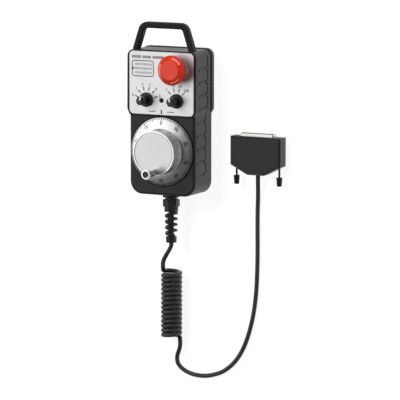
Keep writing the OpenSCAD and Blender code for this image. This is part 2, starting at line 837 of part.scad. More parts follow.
module encoder_shaft() color("#d4d6d8") {
    translate([0, 0, disc_z - 1.2]) cylinder(r = shaft_r, h = shaft_top - disc_z + 1.2);
    // Shoulder that the rear bearing sits against
    translate([0, 0, disc_z + disc_t])
        cylinder(r = shaft_r + 1, h = rear_bearing_z - disc_z - disc_t - 0.1);
}

// Slotted code disc, one slot for each pulse
module code_disc() color("#9aa0a6") {
    translate([0, 0, disc_z]) linear_extrude(disc_t) difference() {
        circle(disc_r);
        circle(shaft_r);
        slot = PI * disc_r / pulses * 0.8;
        for (i = [0:pulses - 1]) rotate(360 * i / pulses)
            translate([disc_r - 3.4, -slot / 2]) square([2.2, slot]);
    }
}

// Handwheel: graduated cone and boss as one turning, hollow behind, with a hub for the shaft
module handwheel() color("#c9cacc") {
    r = wheel_d / 2;
    b = boss_d / 2;
    inner = b - boss_wall;
    roof = cap_z - boss_top_t;
    difference() {
        union() {
            rotate_extrude($fn = 96) difference() {
                polygon(concat([
                    [0, wheel_z], [r - 0.5, wheel_z], [r, wheel_z + 0.4], [r, rim_z - 0.3],
                    [r - 0.4, rim_z], [b + 1, cone_z - 0.15], [b + 0.2, cone_z], [b, cone_z + 0.6],
                    [b - 0.2, boss_z - 0.7], [b - 0.8, boss_z], [0, boss_z]
                ]));
                translate([-1, 0]) square([inner + 1, roof]);
            }
            translate([0, 0, hub_z]) cylinder(r = hub_r, h = roof - hub_z + 1);
            translate([0, -spinner_offset, roof - 6]) cylinder(r = 3.4, h = 7);
        }
        translate([0, 0, hub_z - 1]) cylinder(r = shaft_r + 0.02, h = shaft_top - hub_z + 1.3);
        translate([0, 0, cap_z]) cylinder(d = cap_d + 0.1, h = cap_t + 1);
        translate([0, -spinner_offset, roof - 7]) cylinder(r = spinner_screw_r + 0.01, h = 20);
        for (a = setscrew_angles()) rotate([0, 0, a]) translate([0, 0, hub_z + 5]) rotate([0, 90, 0])
            cylinder(r = 1.5, h = b + 2);
    }
}

function setscrew_angles() = [110, 200];

// Cap plate in the boss, let in round the spinner's foot
module handwheel_cap() color("#d8d8d8") {
    translate([0, 0, cap_z]) linear_extrude(cap_t) difference() {
        circle(d = cap_d, $fn = 96);
        translate([0, -spinner_offset]) circle(spinner_screw_r + 0.1);
    }
}

module hub_setscrews() color("#55585c") {
    for (a = setscrew_angles()) rotate([0, 0, a])
        translate([shaft_r + 0.03, 0, hub_z + 5]) rotate([0, 90, 0]) difference() {
            cylinder(r = 1.48, h = hub_r - shaft_r - 0.4);
            translate([0, 0, 1.6]) linear_extrude(5) hexagon(1.5);
        }
}

// Shoulder screw that the spinner turns on, with a collar on the cap plate
module spinner_screw() color("#b5b8bc") {
    translate([0, -spinner_offset, 0]) difference() {
        union() {
            translate([0, 0, cap_z - boss_top_t - 4])
                cylinder(r = spinner_screw_r, h = spinner_seat + 0.2 - cap_z + boss_top_t + 4);
            translate([0, 0, boss_z]) cylinder(r = spinner_collar_r, h = spinner_low - 0.1 - boss_z);
            translate([0, 0, spinner_seat + 0.1]) cylinder(r = spinner_head_r, h = 2.6);
        }
        translate([0, 0, spinner_seat + 0.9]) linear_extrude(5) hexagon(2.5);
    }
}

// Spinner: a waisted grip, flared at its tip
module spinner_knob() color("#b9bbbe") {
    h = spinner_l;
    tip = spinner_r;
    translate([0, -spinner_offset, spinner_low]) rotate_extrude() difference() {
        polygon(concat(
            [[0, 0], [3.1, 0], [3.5, 0.4], [3.3, h * 0.3], [3.5, h * 0.5], [4.1, h * 0.68]],
            arc(tip - 1, h * 0.86, 1, -20, 0, 2), arc(tip - 0.9, h - 0.9, 0.9, 0, 90, 4), [[0, h]]
        ));
        translate([-1, -1]) square([1 + spinner_screw_r + running, h + 2]);
        translate([-1, h - 4.8]) square([1 + spinner_head_r + 0.4, 6]);
    }
}

// Rotary switch behind the head wall, with its threaded bush
module rotary_switch() {
    translate([0, selector_y, 0]) difference() {
        union() {
            translate([0, 0, head_inside - switch_l]) cylinder(r = switch_r, h = switch_l - 2);
            translate([-switch_r, -switch_r, head_inside - 2]) cube([2 * switch_r, 2 * switch_r, 2]);
            translate([0, 0, head_inside - 1]) cylinder(r = bush_r, h = bush_top - head_inside + 1);
            for (a = [0:30:330]) rotate(a) translate([switch_r - 1.6, 0, head_inside - switch_l - 2.6])
                cylinder(r = 0.4, h = 3.5, $fn = 16);
        }
        translate([0, 0, head_inside - switch_l + 2]) cylinder(r = spindle_r + running, h = 40);
    }
}

module axis_switch() color("#2b4a7a") translate([-selector_x, 0, 0]) rotary_switch();
module scale_switch() color("#2b4a7a") translate([selector_x, 0, 0]) rotary_switch();

module switch_nuts() color("#c7cacd") {
    for (x = [-1, 1]) translate([x * selector_x, selector_y, panel_z]) linear_extrude(switch_nut_t)
        difference() {
            hexagon(switch_nut_af);
            circle(bush_r + 0.02);
        }
}

// Selector shaft, with the flat that the knob's screw bears on
module spindle() {
    low = head_inside - switch_l + 2.4;
    translate([0, selector_y, 0]) difference() {
        translate([0, 0, low]) cylinder(r = spindle_r, h = spindle_top - low);
        translate([-5, spindle_r * 0.55, bush_top + 1]) cube([10, 5, 30]);
    }
}

module axis_shaft() color("#cfd1d3") translate([-selector_x, 0, 0]) spindle();
module scale_shaft() color("#cfd1d3") translate([selector_x, 0, 0]) spindle();

// Pointer knob: round skirt and a soft grip bar, with a slot for the pointer line
module pointer_knob(turn) {
    bar_low = skirt_low + skirt_h;
    e = 1.3;
    translate([0, selector_y, 0]) rotate(-turn) difference() {
        union() {
            translate([0, 0, skirt_low]) rotate_extrude()
                polygon(concat([[0, 0], [skirt_d / 2, 0], [skirt_d / 2, 1]],
                               arc(skirt_d / 2 - 1.9, skirt_h - 1.6, 1.6, 0, 90, 4), [[0, skirt_h]]));
            hull() for (y = [-1, 1]) translate([0, y * (bar_l / 2 - bar_w / 2), bar_low - 2])
                soft_post(bar_w / 2, knob_top - bar_low + 2, e);
        }
        translate([0, 0, skirt_low - 1])
            cylinder(r = switch_nut_af * 0.58 + 0.5, h = bush_top - skirt_low + 1.4);
        translate([0, 0, skirt_low - 1])
            cylinder(r = spindle_r + 0.02, h = spindle_top - skirt_low + 1.3);
        translate([-0.55, 0.6, knob_top - 0.35]) cube([1.1, bar_l / 2 - 1.6, 1]);
    }
}

module axis_knob() color("#1c1c1c") translate([-selector_x, 0, 0]) pointer_knob(axis_turn);
module scale_knob() color("#1c1c1c") translate([selector_x, 0, 0]) pointer_knob(scale_turn);

// Lens of the pilot lamp, held by its flange behind the wall
module pilot_lens() color("#141414") {
    translate([0, selector_y, 0]) {
        r = lens_d / 2;
        rotate_extrude() polygon(concat(
            [[0, head_inside - 5], [r + 0.8, head_inside - 5], [r + 0.8, head_inside], [r, head_inside]],
            [[r, panel_z + 0.2]], arc(r - 0.9, panel_z + 0.2, 0.9, 0, 90, 4), [[0, panel_z + 1.1]]
        ));
    }
}

// Bezel and threaded barrel of the stop button
module estop_collar() color("#2a2a2a") {
    z = panel_z + seal_t;
    translate([estop_x, estop_y, 0]) rotate_extrude() polygon([
        [plunger_r + running, barrel_low], [barrel_r, barrel_low], [barrel_r, z],
        [estop_flange_r, z], [estop_flange_r, bezel_top - 0.6], [estop_flange_r - 1, bezel_top],
        [plunger_r + running, bezel_top]
    ]);
}

module estop_seal() color("#444444") {
    translate([estop_x, estop_y, panel_z]) linear_extrude(seal_t) difference() {
        circle(estop_flange_r - 0.3);
        circle(barrel_r + 0.02);
    }
}

// Ring nut behind the head wall, with driving notches
module estop_nut() color("#9a9da1") {
    translate([estop_x, estop_y, head_inside - 4]) linear_extrude(4) difference() {
        circle(barrel_r + 2.1);
        circle(barrel_r + 0.02);
        for (a = [0:60:300]) rotate(a) translate([barrel_r + 1.2, -1]) square([3, 2]);
    }
}

// Contact block below the barrel, hollow for the plunger and its spring
module estop_contact_block() color("#31343a") {
    translate([estop_x, estop_y, 0]) difference() {
        union() {
            translate([-block_w / 2, -block_w / 2, block_low])
                cube([block_w, block_w, barrel_low - block_low]);
            for (x = [-1, 1], y = [-1, 1]) translate([x * 6.5, y * 6.5, block_low - 1.2])
                cylinder(r = 1.7, h = 2);
        }
        translate([0, 0, block_floor]) cylinder(r = plunger_r + 0.4, h = 40);
    }
}

module estop_spring() color("#c8cacc") {
    gap = plunger_low - block_floor - 2 * spring_wire - 0.1;
    n = ceil(spring_turns * 12);
    path = [
        for (i = [0:n]) [
            spring_r * cos(360 * spring_turns * i / n), spring_r * sin(360 * spring_turns * i / n),
            gap * i / n
        ]
    ];
    translate([estop_x, estop_y, block_floor + spring_wire + 0.05])
        swept(path, spring_wire / 2, spring_wire / 2, 6, [0, 0, 1]);
}

module estop_plunger() color("#d8d4c8") {
    head_seat = estop_low - 0.1;
    translate([estop_x, estop_y, 0]) {
        translate([0, 0, plunger_low]) cylinder(r = plunger_r, h = head_seat - plunger_low);
        translate([0, 0, plunger_low]) cylinder(r = stem_r, h = estop_top - 3.4 - plunger_low);
    }
}

// Mushroom head: flat face, rounded bevel, tapered skirt, hollow underneath
module estop_head() color("#d84437") {
    r = estop_r;
    f = estop_face_d / 2;
    low = estop_low;
    top = estop_top;
    floor_z = low + 4.2;
    translate([estop_x, estop_y, 0]) rotate_extrude($fn = 72) polygon(concat(
        [[stem_r + running, low + 0.2], [7.4, low + 0.2], [7.4, floor_z], [r - 1.9, floor_z],
         [r - 1.9, low], [r - 0.9, low], [r - 0.6, low + 0.3]],
        arc(r - 1.2, top - 4.3, 1.2, 0, 60, 4), arc(f - 0.4, top - 1.2, 1.2, 60, 90, 3),
        [[0, top], [0, top - 3.1], [stem_r + running, top - 3.1]]
    ));
}

// Enable button in the left side: a rounded pad with a flange behind the wall
module enable_button() color("#3a3a3a") {
    face = -head_w / 2 - enable_proud;
    translate([0, enable_y, enable_z]) {
        hull() for (y = [-1, 1], z = [-1, 1])
            translate([face, y * (enable_l / 2 - 1.8), z * (enable_w / 2 - 1.8)])
                rotate([0, 90, 0]) foot_post(1.8, wall + enable_proud + 0.3, 0.8);
        translate([-side_in + 0.2, -enable_l / 2 - 1, -enable_w / 2 - 1])
            cube([1.2, enable_l + 2, enable_w + 2]);
        translate([-side_in - 0.2, -2.5, -2.5]) cube([side_in - button_back + 0.2, 5, 5]);
    }
}

// Rails that hold the button's flange against the wall and carry the switch
module enable_retainer() color("#2d2f33") {
    translate([-side_in, enable_y, enable_z]) difference() {
        translate([0, -enable_l / 2, -enable_w / 2 - 3])
            cube([retainer_l + 1.4, enable_l, enable_w + 6]);
        translate([-1, -enable_l, -enable_w / 2 - 1 - slip])
            cube([retainer_l + 1, 2 * enable_l, enable_w + 2 + 2 * slip]);
        translate([0, -3.4, -3.4]) cube([10, 6.8, 6.8]);
    }
}

module enable_switch() color("#b02a2a") {
    translate([-side_in + retainer_l, enable_y, enable_z]) {
        translate([1.4, -6, -4.4]) cube([5, 12, 8.8]);
        translate([0, -1.5, -1.5]) cube([2, 3, 3]);
    }
}

// Main board on the cover's posts, with its wiring connectors
module main_board() color("#1f6b3a") {
    low = tail_y + 18;
    high = head_y - 4.5;
    difference() {
        translate([-25, low, board_z]) cube([50, high - low, board_t]);
        for (p = board_screw_xy) translate([p[0], p[1], board_z - 1]) cylinder(r = 1.35, h = 5);
    }
    translate([-12, high - 7, board_z + board_t]) cube([24, 5, 2.2]);
    translate([-8, low + 1, board_z + board_t]) cube([16, 5, 2.2]);
}

module board_screws() color("#b9bcc0") {
    for (p = board_screw_xy) translate([p[0], p[1], 0]) difference() {
        union() {
            translate([0, 0, wall + 0.4]) cylinder(r = 1.22, h = board_z + board_t - wall - 0.4);
            translate([0, 0, board_z + board_t]) cylinder(r = 2.4, h = 1.5);
        }
        translate([0, 0, board_z + board_t + 0.7]) cross_slot(1.3, 2);
    }
}

// Turned piece about the gland's axis, its profile given as radius and distance below the tail
module on_gland_axis(y) {
    translate([0, y, gland_z]) rotate([90, 0, 0]) children();
}

// Gland body: thread through the case wall, hexagon outside it, and the cap nut's thread
module gland_body() color("#2b2b2b") {
    on_gland_axis(tail_y) difference() {
        union() {
            translate([0, 0, -wall - locknut_t - 2])
                cylinder(d = gland_d, h = wall + locknut_t + 2 + gland_flange_t);
            gland_hexagon(gland_flange_t);
            cylinder(d = gland_d - 0.1, h = gland_flange_t + gland_neck_l + gland_thread_in);
        }
        translate([0, 0, -20]) cylinder(r = cord_bore_r, h = 60);
        translate([0, 0, -eps]) difference() {
            cylinder(d = gland_d + 1.5, h = gland_seal_t + eps);
            cylinder(d = gland_d, h = gland_seal_t + eps);
        }
    }
}

// Hexagon with bevelled corners at both ends
module gland_hexagon(h) {
    r = gland_af / 2 / cos(30);
    c = r - gland_af / 2;
    intersection() {
        linear_extrude(h) rotate(gland_turn) hexagon(gland_af);
        rotate_extrude() polygon([
            [0, 0], [r - c * 0.7, 0], [r + eps, c * 0.5], [r + eps, h - c * 0.5],
            [r - c * 0.7, h], [0, h]
        ]);
    }
}

module gland_locknut() color("#2b2b2b") {
    on_gland_axis(tail_y + wall + locknut_t) linear_extrude(locknut_t) difference() {
        hexagon(gland_d + 4);
        circle(gland_d / 2 + 0.02);
    }
}

// Sealing ring between the gland's hexagon and the case
module gland_seal() color("#4a4a4a") {
    on_gland_axis(tail_y) linear_extrude(gland_seal_t - 0.05) difference() {
        circle(gland_d / 2 + 0.7);
        circle(gland_d / 2 + 0.02);
    }
}

// Cap nut and spiral strain relief in one moulding: a ridge winds round a thin sleeve
module strain_relief() color("#262626") {
    steps = 14;
    n = relief_turns * steps;
    ridge = [
        for (i = [0:n])
            let (f = i / n, a = 20 - 360 * relief_turns * f, r = 5.1 - 0.5 * f)
                [r * cos(a), r * sin(a), cap_l + 1 + relief_pitch * relief_turns * f]
    ];
    on_gland_axis(cap_y) difference() {
        union() {
            gland_hexagon(gland_hex_l);
            cylinder(d1 = gland_af - 0.6, d2 = gland_af - 0.9, h = cap_l);
            translate([0, 0, cap_l - 1]) cylinder(r = relief_core_r, h = relief_l + 2);
            swept(ridge, 1.9, 1.6, 8, [0, 0, 1]);
            translate([0, 0, cap_l + relief_l]) cylinder(r1 = 5.6, r2 = 5.3, h = relief_end_l);
        }
        translate([0, 0, -1]) cylinder(r = cord_bore_r, h = 80);
        translate([0, 0, -1]) cylinder(d = gland_d, h = gland_thread_in + 1.2);
    }
}

// The cord inside the gland and the case
module inner_cable() color("#222222") {
    translate([0, relief_end, gland_z]) rotate([-90, 0, 0])
        cylinder(d = cord_d, h = tail_y + wall + locknut_t + 4 - relief_end);
}

module cord_lead() color("#3c3c3c") swept(lead_route, cord_d / 2, cord_d / 2, 8, [0, 0, 1]);
module cord_tail() color("#3c3c3c") swept(tail_route, cord_d / 2, cord_d / 2, 8, [0, 0, 1]);

// The curl as one tube of its outer size
module cord_coil() color("#3c3c3c") {
    translate([coil_x, coil_y, coil_z]) rotate([90, 0, 0]) difference() {
        cylinder(r = coil_r, h = coil_l);
        translate([0, 0, -1]) cylinder(r = coil_mean_r - cord_d / 2, h = coil_l + 2);
    }
}

// Plan of the hood about its centre line, drawn in by inset
module hood_plan(inset) {
    w = hood_w / 2 - inset;
    s = (hood_nose_w / 2 - inset * 0.75);
    polygon([
        [-w, hood_top - inset], [-w, hood_turn + inset * 0.2], [-s, hood_low + inset],
        [s, hood_low + inset], [w, hood_turn + inset * 0.2], [w, hood_top - inset]
    ]);
}

// One half of the hood, open at the parting plane, with the ways for cord, shell and
// jackscrews. The D of the shell is turned over in the rear half.
module hood_half(turned) {
    half = hood_t / 2;
    difference() {
        hull() {
            linear_extrude(half - hood_chamfer) hood_plan(0);
            linear_extrude(half) hood_plan(hood_chamfer);
        }
        difference() {
            translate([0, 0, -1]) linear_extrude(half - hood_wall + 1) difference() {
                hood_plan(hood_wall);
                translate([-hood_w / 2, hood_top - face_t]) square([hood_w, face_t]);
            }
            at_hood_screws() cylinder(r = 2.7, h = half);
            // Ribs that keep the connector's flange against the face
            for (x = [-1, 1]) translate([x * 15 - 1, flange_y - 3.2, 5.4]) cube([2, 2.9, half]);
        }
        translate([0, hood_top + 1, 0]) rotate([90, 0, 0]) linear_extrude(face_t + 2)
            mirror([0, turned ? 1 : 0]) d_outline(0.15);
        translate([0, hood_low - 1, 0]) rotate([-90, 0, 0]) cylinder(r = cord_bore_r, h = 6);
        for (x = [-1, 1]) translate([x * jack_x, 0, 0]) rotate([-90, 0, 0]) {
            translate([0, 0, hood_low - 1]) cylinder(r = jack_rod_r + running, h = 16);
            translate([0, 0, hood_top - 4]) cylinder(r = jack_tip_r + 0.1, h = 8);
        }
    }
}

module at_hood_screws() {
    for (x = [-1, 1]) translate([x * hood_screw[0], hood_low + hood_screw[1], 0]) children();
}

// The D of the connector: wide at the back, sides sloping in by ten degrees
module d_outline(grow) {
    h = shell_h / 2 - 1;
    low = shell_w / 2 - 1;
    high = low - 2 * h * shell_slope;
    r = 1 + grow;
    polygon(concat(arc(high, h, r, 10, 90, 5), arc(-high, h, r, 90, 170, 5),
                   arc(-low, -h, r, 170, 270, 6), arc(low, -h, r, 270, 370, 6)));
}

module hood_front() color("#323232") {
    translate([plug_x, 0, plug_z]) difference() {
        hood_half(false);
        at_hood_screws() translate([0, 0, -1])
            cylinder(r = hood_screw_r + 0.02, h = hood_t / 2 - hood_wall);
    }
}

module hood_rear() color("#323232") {
    translate([plug_x, 0, plug_z]) difference() {
        mirror([0, 0, 1]) hood_half(true);
        at_hood_screws() translate([0, 0, -plug_z - 1]) {
            cylinder(r = hood_screw_r + 0.1, h = hood_t);
            cylinder(r = 2.2, h = 2.8);
        }
    }
}

module hood_screws() color("#aeb1b4") {
    translate([plug_x, 0, 0.3]) at_hood_screws() difference() {
        union() {
            cylinder(r = 2, h = 1.5);
            cylinder(r = hood_screw_r, h = hood_t - hood_wall - 2.2);
        }
        translate([0, 0, -1]) cross_slot(1.2, 1.7);
    }
}

// Metal shell of the connector: drawn D on a flange
module dsub_shell() color("#d0d2d4") {
    translate([plug_x, 0, plug_z]) {
        translate([0, shell_top, 0]) rotate([90, 0, 0]) linear_extrude(shell_top - flange_y - 0.1)
            difference() {
                d_outline(0);
                d_outline(-shell_t);
            }
        translate([0, flange_y + 0.9, 0]) rotate([90, 0, 0]) linear_extrude(0.8) difference() {
            soft_rect(hood_w - 2 * hood_wall - 0.6, 11.4, 1);
            d_outline(-shell_t);
            for (x = [-1, 1]) translate([x * jack_x, 0]) circle(jack_tip_r + 0.1);
        }
    }
}

function pin_xy() = concat(
    [for (i = [0:12]) [(i - 6) * pin_pitch, -pin_row / 2]],
    [for (i = [0:11]) [(i - 5.5) * pin_pitch, pin_row / 2]]
);

// Insulator in the shell, with a stepped hole for each contact
module dsub_insulator() color("#1a1a1a") {
    translate([plug_x, shell_top - 0.4, plug_z]) rotate([90, 0, 0]) difference() {
        linear_extrude(shell_out + face_t + 4.8) d_outline(-shell_t - 0.05);
        for (p = pin_xy()) translate([p[0], p[1], -1]) {
            cylinder(r = 0.6, h = 20, $fn = 16);
            translate([0, 0, 2]) cylinder(r = 1, h = 20, $fn = 16);
        }
    }
}

module dsub_contacts() color("#d9b45a") {
    translate([plug_x, shell_top - 0.4, plug_z]) rotate([90, 0, 0])
        for (p = pin_xy()) translate([p[0], p[1], 1]) difference() {
            cylinder(r = 0.95, h = contact_l, $fn = 16);
            translate([0, 0, -1]) cylinder(r = 0.55, h = 6, $fn = 16);
        }
}

// Clamp that grips the cord inside the hood
module cable_clamp() color("#b4b7ba") {
    translate([plug_x, hood_low + 5.4, plug_z]) rotate([-90, 0, 0]) linear_extrude(4) difference() {
        soft_rect(10, 8.4, 1.4);
        circle(cord_bore_r);
    }
}

// The cord inside the hood
module plug_cable() color("#222222") {
    translate([plug_x, hood_low, plug_z]) rotate([-90, 0, 0]) cylinder(d = cord_d, h = 11);
}

// Jackscrew: threaded tip, thin shank and a tapered thumb head
module jackscrew() {
    translate([0, 0, plug_z]) rotate([-90, 0, 0]) {
        translate([0, 0, jack_head_top - jack_head_l]) rotate_extrude() polygon([
            [0, 0], [2.1, 0], [2.5, 0.5], [3.1, jack_head_l - 0.4], [2.9, jack_head_l],
            [0, jack_head_l]
        ]);
        translate([0, 0, jack_head_top - 1]) cylinder(r = jack_rod_r, h = jack_tip - jack_head_top);
        translate([0, 0, jack_tip - jack_tip_l]) cylinder(r = jack_tip_r, h = jack_tip_l - 0.4);
        translate([0, 0, jack_tip - 0.4]) cylinder(r1 = jack_tip_r, r2 = jack_rod_r, h = 0.4);
    }
}

module jackscrew_left() color("#1a1a1a") translate([plug_x - jack_x, 0, 0]) jackscrew();
module jackscrew_right() color("#1a1a1a") translate([plug_x + jack_x, 0, 0]) jackscrew();

// Washer that keeps a jackscrew in the hood and slides with it
module jack_washer() {
    translate([0, washer_y, plug_z]) rotate([-90, 0, 0]) difference() {
        cylinder(r = washer_r, h = washer_t - 0.05);
        translate([0, 0, -1]) cylinder(r = jack_rod_r + running, h = 3);
    }
}

module jack_washer_left() color("#9a9da1") translate([plug_x - jack_x, 0, 0]) jack_washer();
module jack_washer_right() color("#9a9da1") translate([plug_x + jack_x, 0, 0]) jack_washer();

front_housing();
rear_cover();
cover_gasket();
cover_screws();
carry_handle();
handle_screws();
face_panel();
encoder_body();
encoder_cover();
encoder_screws();
shaft_bearings();
encoder_board();
encoder_shaft();
code_disc();
handwheel();
handwheel_cap();
hub_setscrews();
spinner_screw();
spinner_knob();
axis_switch();
scale_switch();
switch_nuts();
axis_shaft();
scale_shaft();
axis_knob();
scale_knob();
pilot_lens();
estop_collar();
estop_seal();
estop_nut();
estop_contact_block();
estop_spring();
estop_plunger();
estop_head();
enable_button();
enable_retainer();
enable_switch();
main_board();
board_screws();
gland_body();
gland_locknut();
gland_seal();
strain_relief();
inner_cable();
cord_lead();
cord_coil();
cord_tail();
hood_front();
hood_rear();
hood_screws();
dsub_shell();
dsub_insulator();
dsub_contacts();
cable_clamp();
plug_cable();
jackscrew_left();
jackscrew_right();
jack_washer_left();
jack_washer_right();
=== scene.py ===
import bmesh
import bpy
import numpy as np
from mathutils import Matrix, Vector


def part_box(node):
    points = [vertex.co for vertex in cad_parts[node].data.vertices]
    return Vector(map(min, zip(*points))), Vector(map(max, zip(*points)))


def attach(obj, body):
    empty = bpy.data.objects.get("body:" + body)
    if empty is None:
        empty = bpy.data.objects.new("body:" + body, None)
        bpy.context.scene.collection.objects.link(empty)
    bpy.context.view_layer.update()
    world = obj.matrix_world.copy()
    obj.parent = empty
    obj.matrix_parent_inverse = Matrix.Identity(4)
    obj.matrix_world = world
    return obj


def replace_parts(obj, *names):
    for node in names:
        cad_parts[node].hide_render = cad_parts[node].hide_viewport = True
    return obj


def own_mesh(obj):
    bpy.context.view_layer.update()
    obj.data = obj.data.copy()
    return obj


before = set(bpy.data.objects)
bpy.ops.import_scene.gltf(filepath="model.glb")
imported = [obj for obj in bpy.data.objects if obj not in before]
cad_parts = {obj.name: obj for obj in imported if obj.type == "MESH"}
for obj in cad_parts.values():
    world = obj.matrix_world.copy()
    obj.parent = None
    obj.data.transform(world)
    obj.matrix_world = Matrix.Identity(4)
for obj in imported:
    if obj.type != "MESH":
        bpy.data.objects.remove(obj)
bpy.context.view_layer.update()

# Looks of the hand-held pulse generator: an ABS pendant lying on its back, its dial, selectors and
# stop button, a curled PVC cord and a 25-way plug. Lengths are millimetres where no comment says metres.

MM = 0.001
PER_M = 1000  # texture scales count per metre: this over a size in mm


# ---------------------------------------------------------------- camera

# The point that the sight line meets; the line's angles from the panel's normal, to the right and up;
# how far right of and below that point the middle of the view lies; the lens and the camera's distance
SIGHT_AT = (0, 0, 20)
SIGHT_RIGHT, SIGHT_UP = np.radians([27.216, 7.119])
ASIDE, BELOW = 29.456, 50.528
LENS, DISTANCE = 359.86, 4000


def make_camera():
    """Places the camera on the sight line and turns it so that the point falls left of and above the
    middle of the view; the roll keeps the pendant upright."""
    toward = np.array([np.cos(SIGHT_UP) * np.sin(SIGHT_RIGHT), np.sin(SIGHT_UP),
                       np.cos(SIGHT_UP) * np.cos(SIGHT_RIGHT)])
    right = np.array([np.cos(SIGHT_RIGHT), 0, -np.sin(SIGHT_RIGHT)])
    up = np.cross(toward, right)
    place = np.array(SIGHT_AT) + toward * DISTANCE
    ahead = right * ASIDE - up * BELOW - toward * DISTANCE
    ahead /= np.linalg.norm(ahead)
    right = right - right.dot(ahead) * ahead
    right /= np.linalg.norm(right)
    up = np.cross(right, ahead)
    data = bpy.data.cameras.new("view")
    data.lens, data.sensor_width = LENS, 36
    data.clip_start, data.clip_end = 0.1, 20
    camera = bpy.data.objects.new("view", data)
    bpy.context.scene.collection.objects.link(camera)
    turn = Matrix(np.column_stack([right, up, -ahead]).tolist()).to_4x4()
    camera.matrix_world = Matrix.Translation(Vector(place * MM)) @ turn
    bpy.context.scene.camera = camera


make_camera()


# ---------------------------------------------------------------- cord

# The cord's diameter, where it leaves the relief, the axis, radius and ends of its curl, and where the
# lead joins the curl and the tail leaves it, as shares of that radius
CORD_D = 4.5
GLAND = (0, -94, 18.4)
COIL_AT, COIL_R = (-3.5, 10.95), 8.65
COIL_Y = (-118.5, -197.5)
CURL_IN, CURL_OUT = (-.855, .525), (.89, -.468)
# The lead as shares of the way from the relief to the curl: along, sideways, in height
LEAD = np.array([[0, 0, 0], [.12, 0, 0], [.3, .19, .075], [.465, .44, .275], [.63, .7, .55],
                 [.775, .9, .825], [.905, 1, 1], [1, 1, 1]])
# The tail as seen from above, its height where it lies on the floor, how far the curl's wire runs on
# before it turns, and the stretches that rise: their points, height at the end and share of the rise
TAIL = np.array([
    [3.2, -203.4], [1, -207.6], [-0.9, -211.4], [-1.5, -215.8], [-0.4, -220.2], [3.2, -224],
    [8.6, -227.2], [15.2, -229.4], [23.2, -230.4], [32, -230], [40.7, -228], [49.7, -224.4], [57.5, -219],
    [64.5, -212], [70.3, -203.6], [75.1, -194], [78.9, -183.6], [81.9, -173], [84.3, -162], [86, -151],
    [87.2, -139.4], [87.9, -127.4], [88.3, -115], [88.5, -102.4], [88.5, -90], [88.4, -78],
    [88.4, -66.6], [88.6, -56], [89.3, -46.4], [90.3, -37.4], [91.1, -29.4], [91.4, -24.4], [91.4, -21.4]])
TAIL_Z, TAIL_START = 2.3, 2.5
TAIL_LIFT = [(slice(0, 4), 6.9, [.85, .47, .16, .03]), (slice(-6, None), 7.8, [.02, .18, .53, .87, 1, 1])]


def lead_route():
    """From the strain relief down to the curl: the shares in LEAD times the shift between them."""
    shift = [COIL_AT[0] + CURL_IN[0] * COIL_R - GLAND[0], COIL_Y[0] - GLAND[1],
             COIL_AT[1] + CURL_IN[1] * COIL_R - GLAND[2]]
    return np.array(GLAND) + LEAD[:, [1, 0, 2]] * shift


def coil_route(start=148.4, end=332.3 + 14 * 360, bend=6.2, per_turn=18):
    """The curl from one angle to another. Unrolled, it is a slanting line between two quarter bends of
    radius bend; rolled on a cylinder of radius COIL_R, u becomes the angle u / R and v the way along -Y."""
    run = np.radians(end - start) * COIL_R
    fall = COIL_Y[0] - COIL_Y[1]
    slope = 0.09
    for _ in range(20):  # the bends turn from straight along to the slant of the line between them
        slope = np.arctan2(fall - 2 * bend * np.cos(slope), run - 2 * bend * (1 - np.sin(slope)))
    a = np.linspace(np.pi / 2, slope, 6)
    first = np.column_stack([bend * (1 - np.sin(a)), bend * np.cos(a)])
    last = [run, fall] - first[::-1]
    n = int(per_turn * (end - start) / 360)
    u, v = np.vstack([first, np.linspace(first[-1], last[0], n)[1:-1], last]).T
    t = np.radians(start) + u / COIL_R
    return np.column_stack([COIL_AT[0] + COIL_R * np.cos(t), COIL_Y[0] - v, COIL_AT[1] + COIL_R * np.sin(t)])


def tail_route():
    """From the curl to the plug, lying on the floor, lifted at both ends by the weights in TAIL_LIFT."""
    z = np.full(len(TAIL), TAIL_Z)
    for part, top, weight in TAIL_LIFT:
        z[part] += (top - TAIL_Z) * np.array(weight)
    first = [[COIL_AT[0] + CURL_OUT[0] * COIL_R, COIL_Y[1] - TAIL_START, COIL_AT[1] + CURL_OUT[1] * COIL_R]]
    return np.vstack([first, np.column_stack([TAIL, z])])


def cord_line(route):
    """Handles of an open Bezier spline through the route: each lies along the chord between the
    point's neighbours, a third as long as the way to the next point."""
    gap = np.linalg.norm(np.diff(route, axis=0), axis=1)
    chord = np.gradient(route, axis=0)
    chord /= np.linalg.norm(chord, axis=1)[:, None]
    before, after = np.append(gap[0], gap) / 3, np.append(gap, gap[-1]) / 3
    return route - chord * before[:, None], route + chord * after[:, None]


def along_line(route, steps=4):
    """Points on the spline: the Bezier cubic of each stretch at even steps."""
    before, after = cord_line(route)
    t = np.arange(steps)[:, None, None] / steps
    a, b, c, d = route[:-1], after[:-1], before[1:], route[1:]
    points = (1 - t) ** 3 * a + 3 * t * (1 - t) ** 2 * b + 3 * t ** 2 * (1 - t) * c + t ** 3 * d
    return np.vstack([points.transpose(1, 0, 2).reshape(-1, 3), route[-1:]])


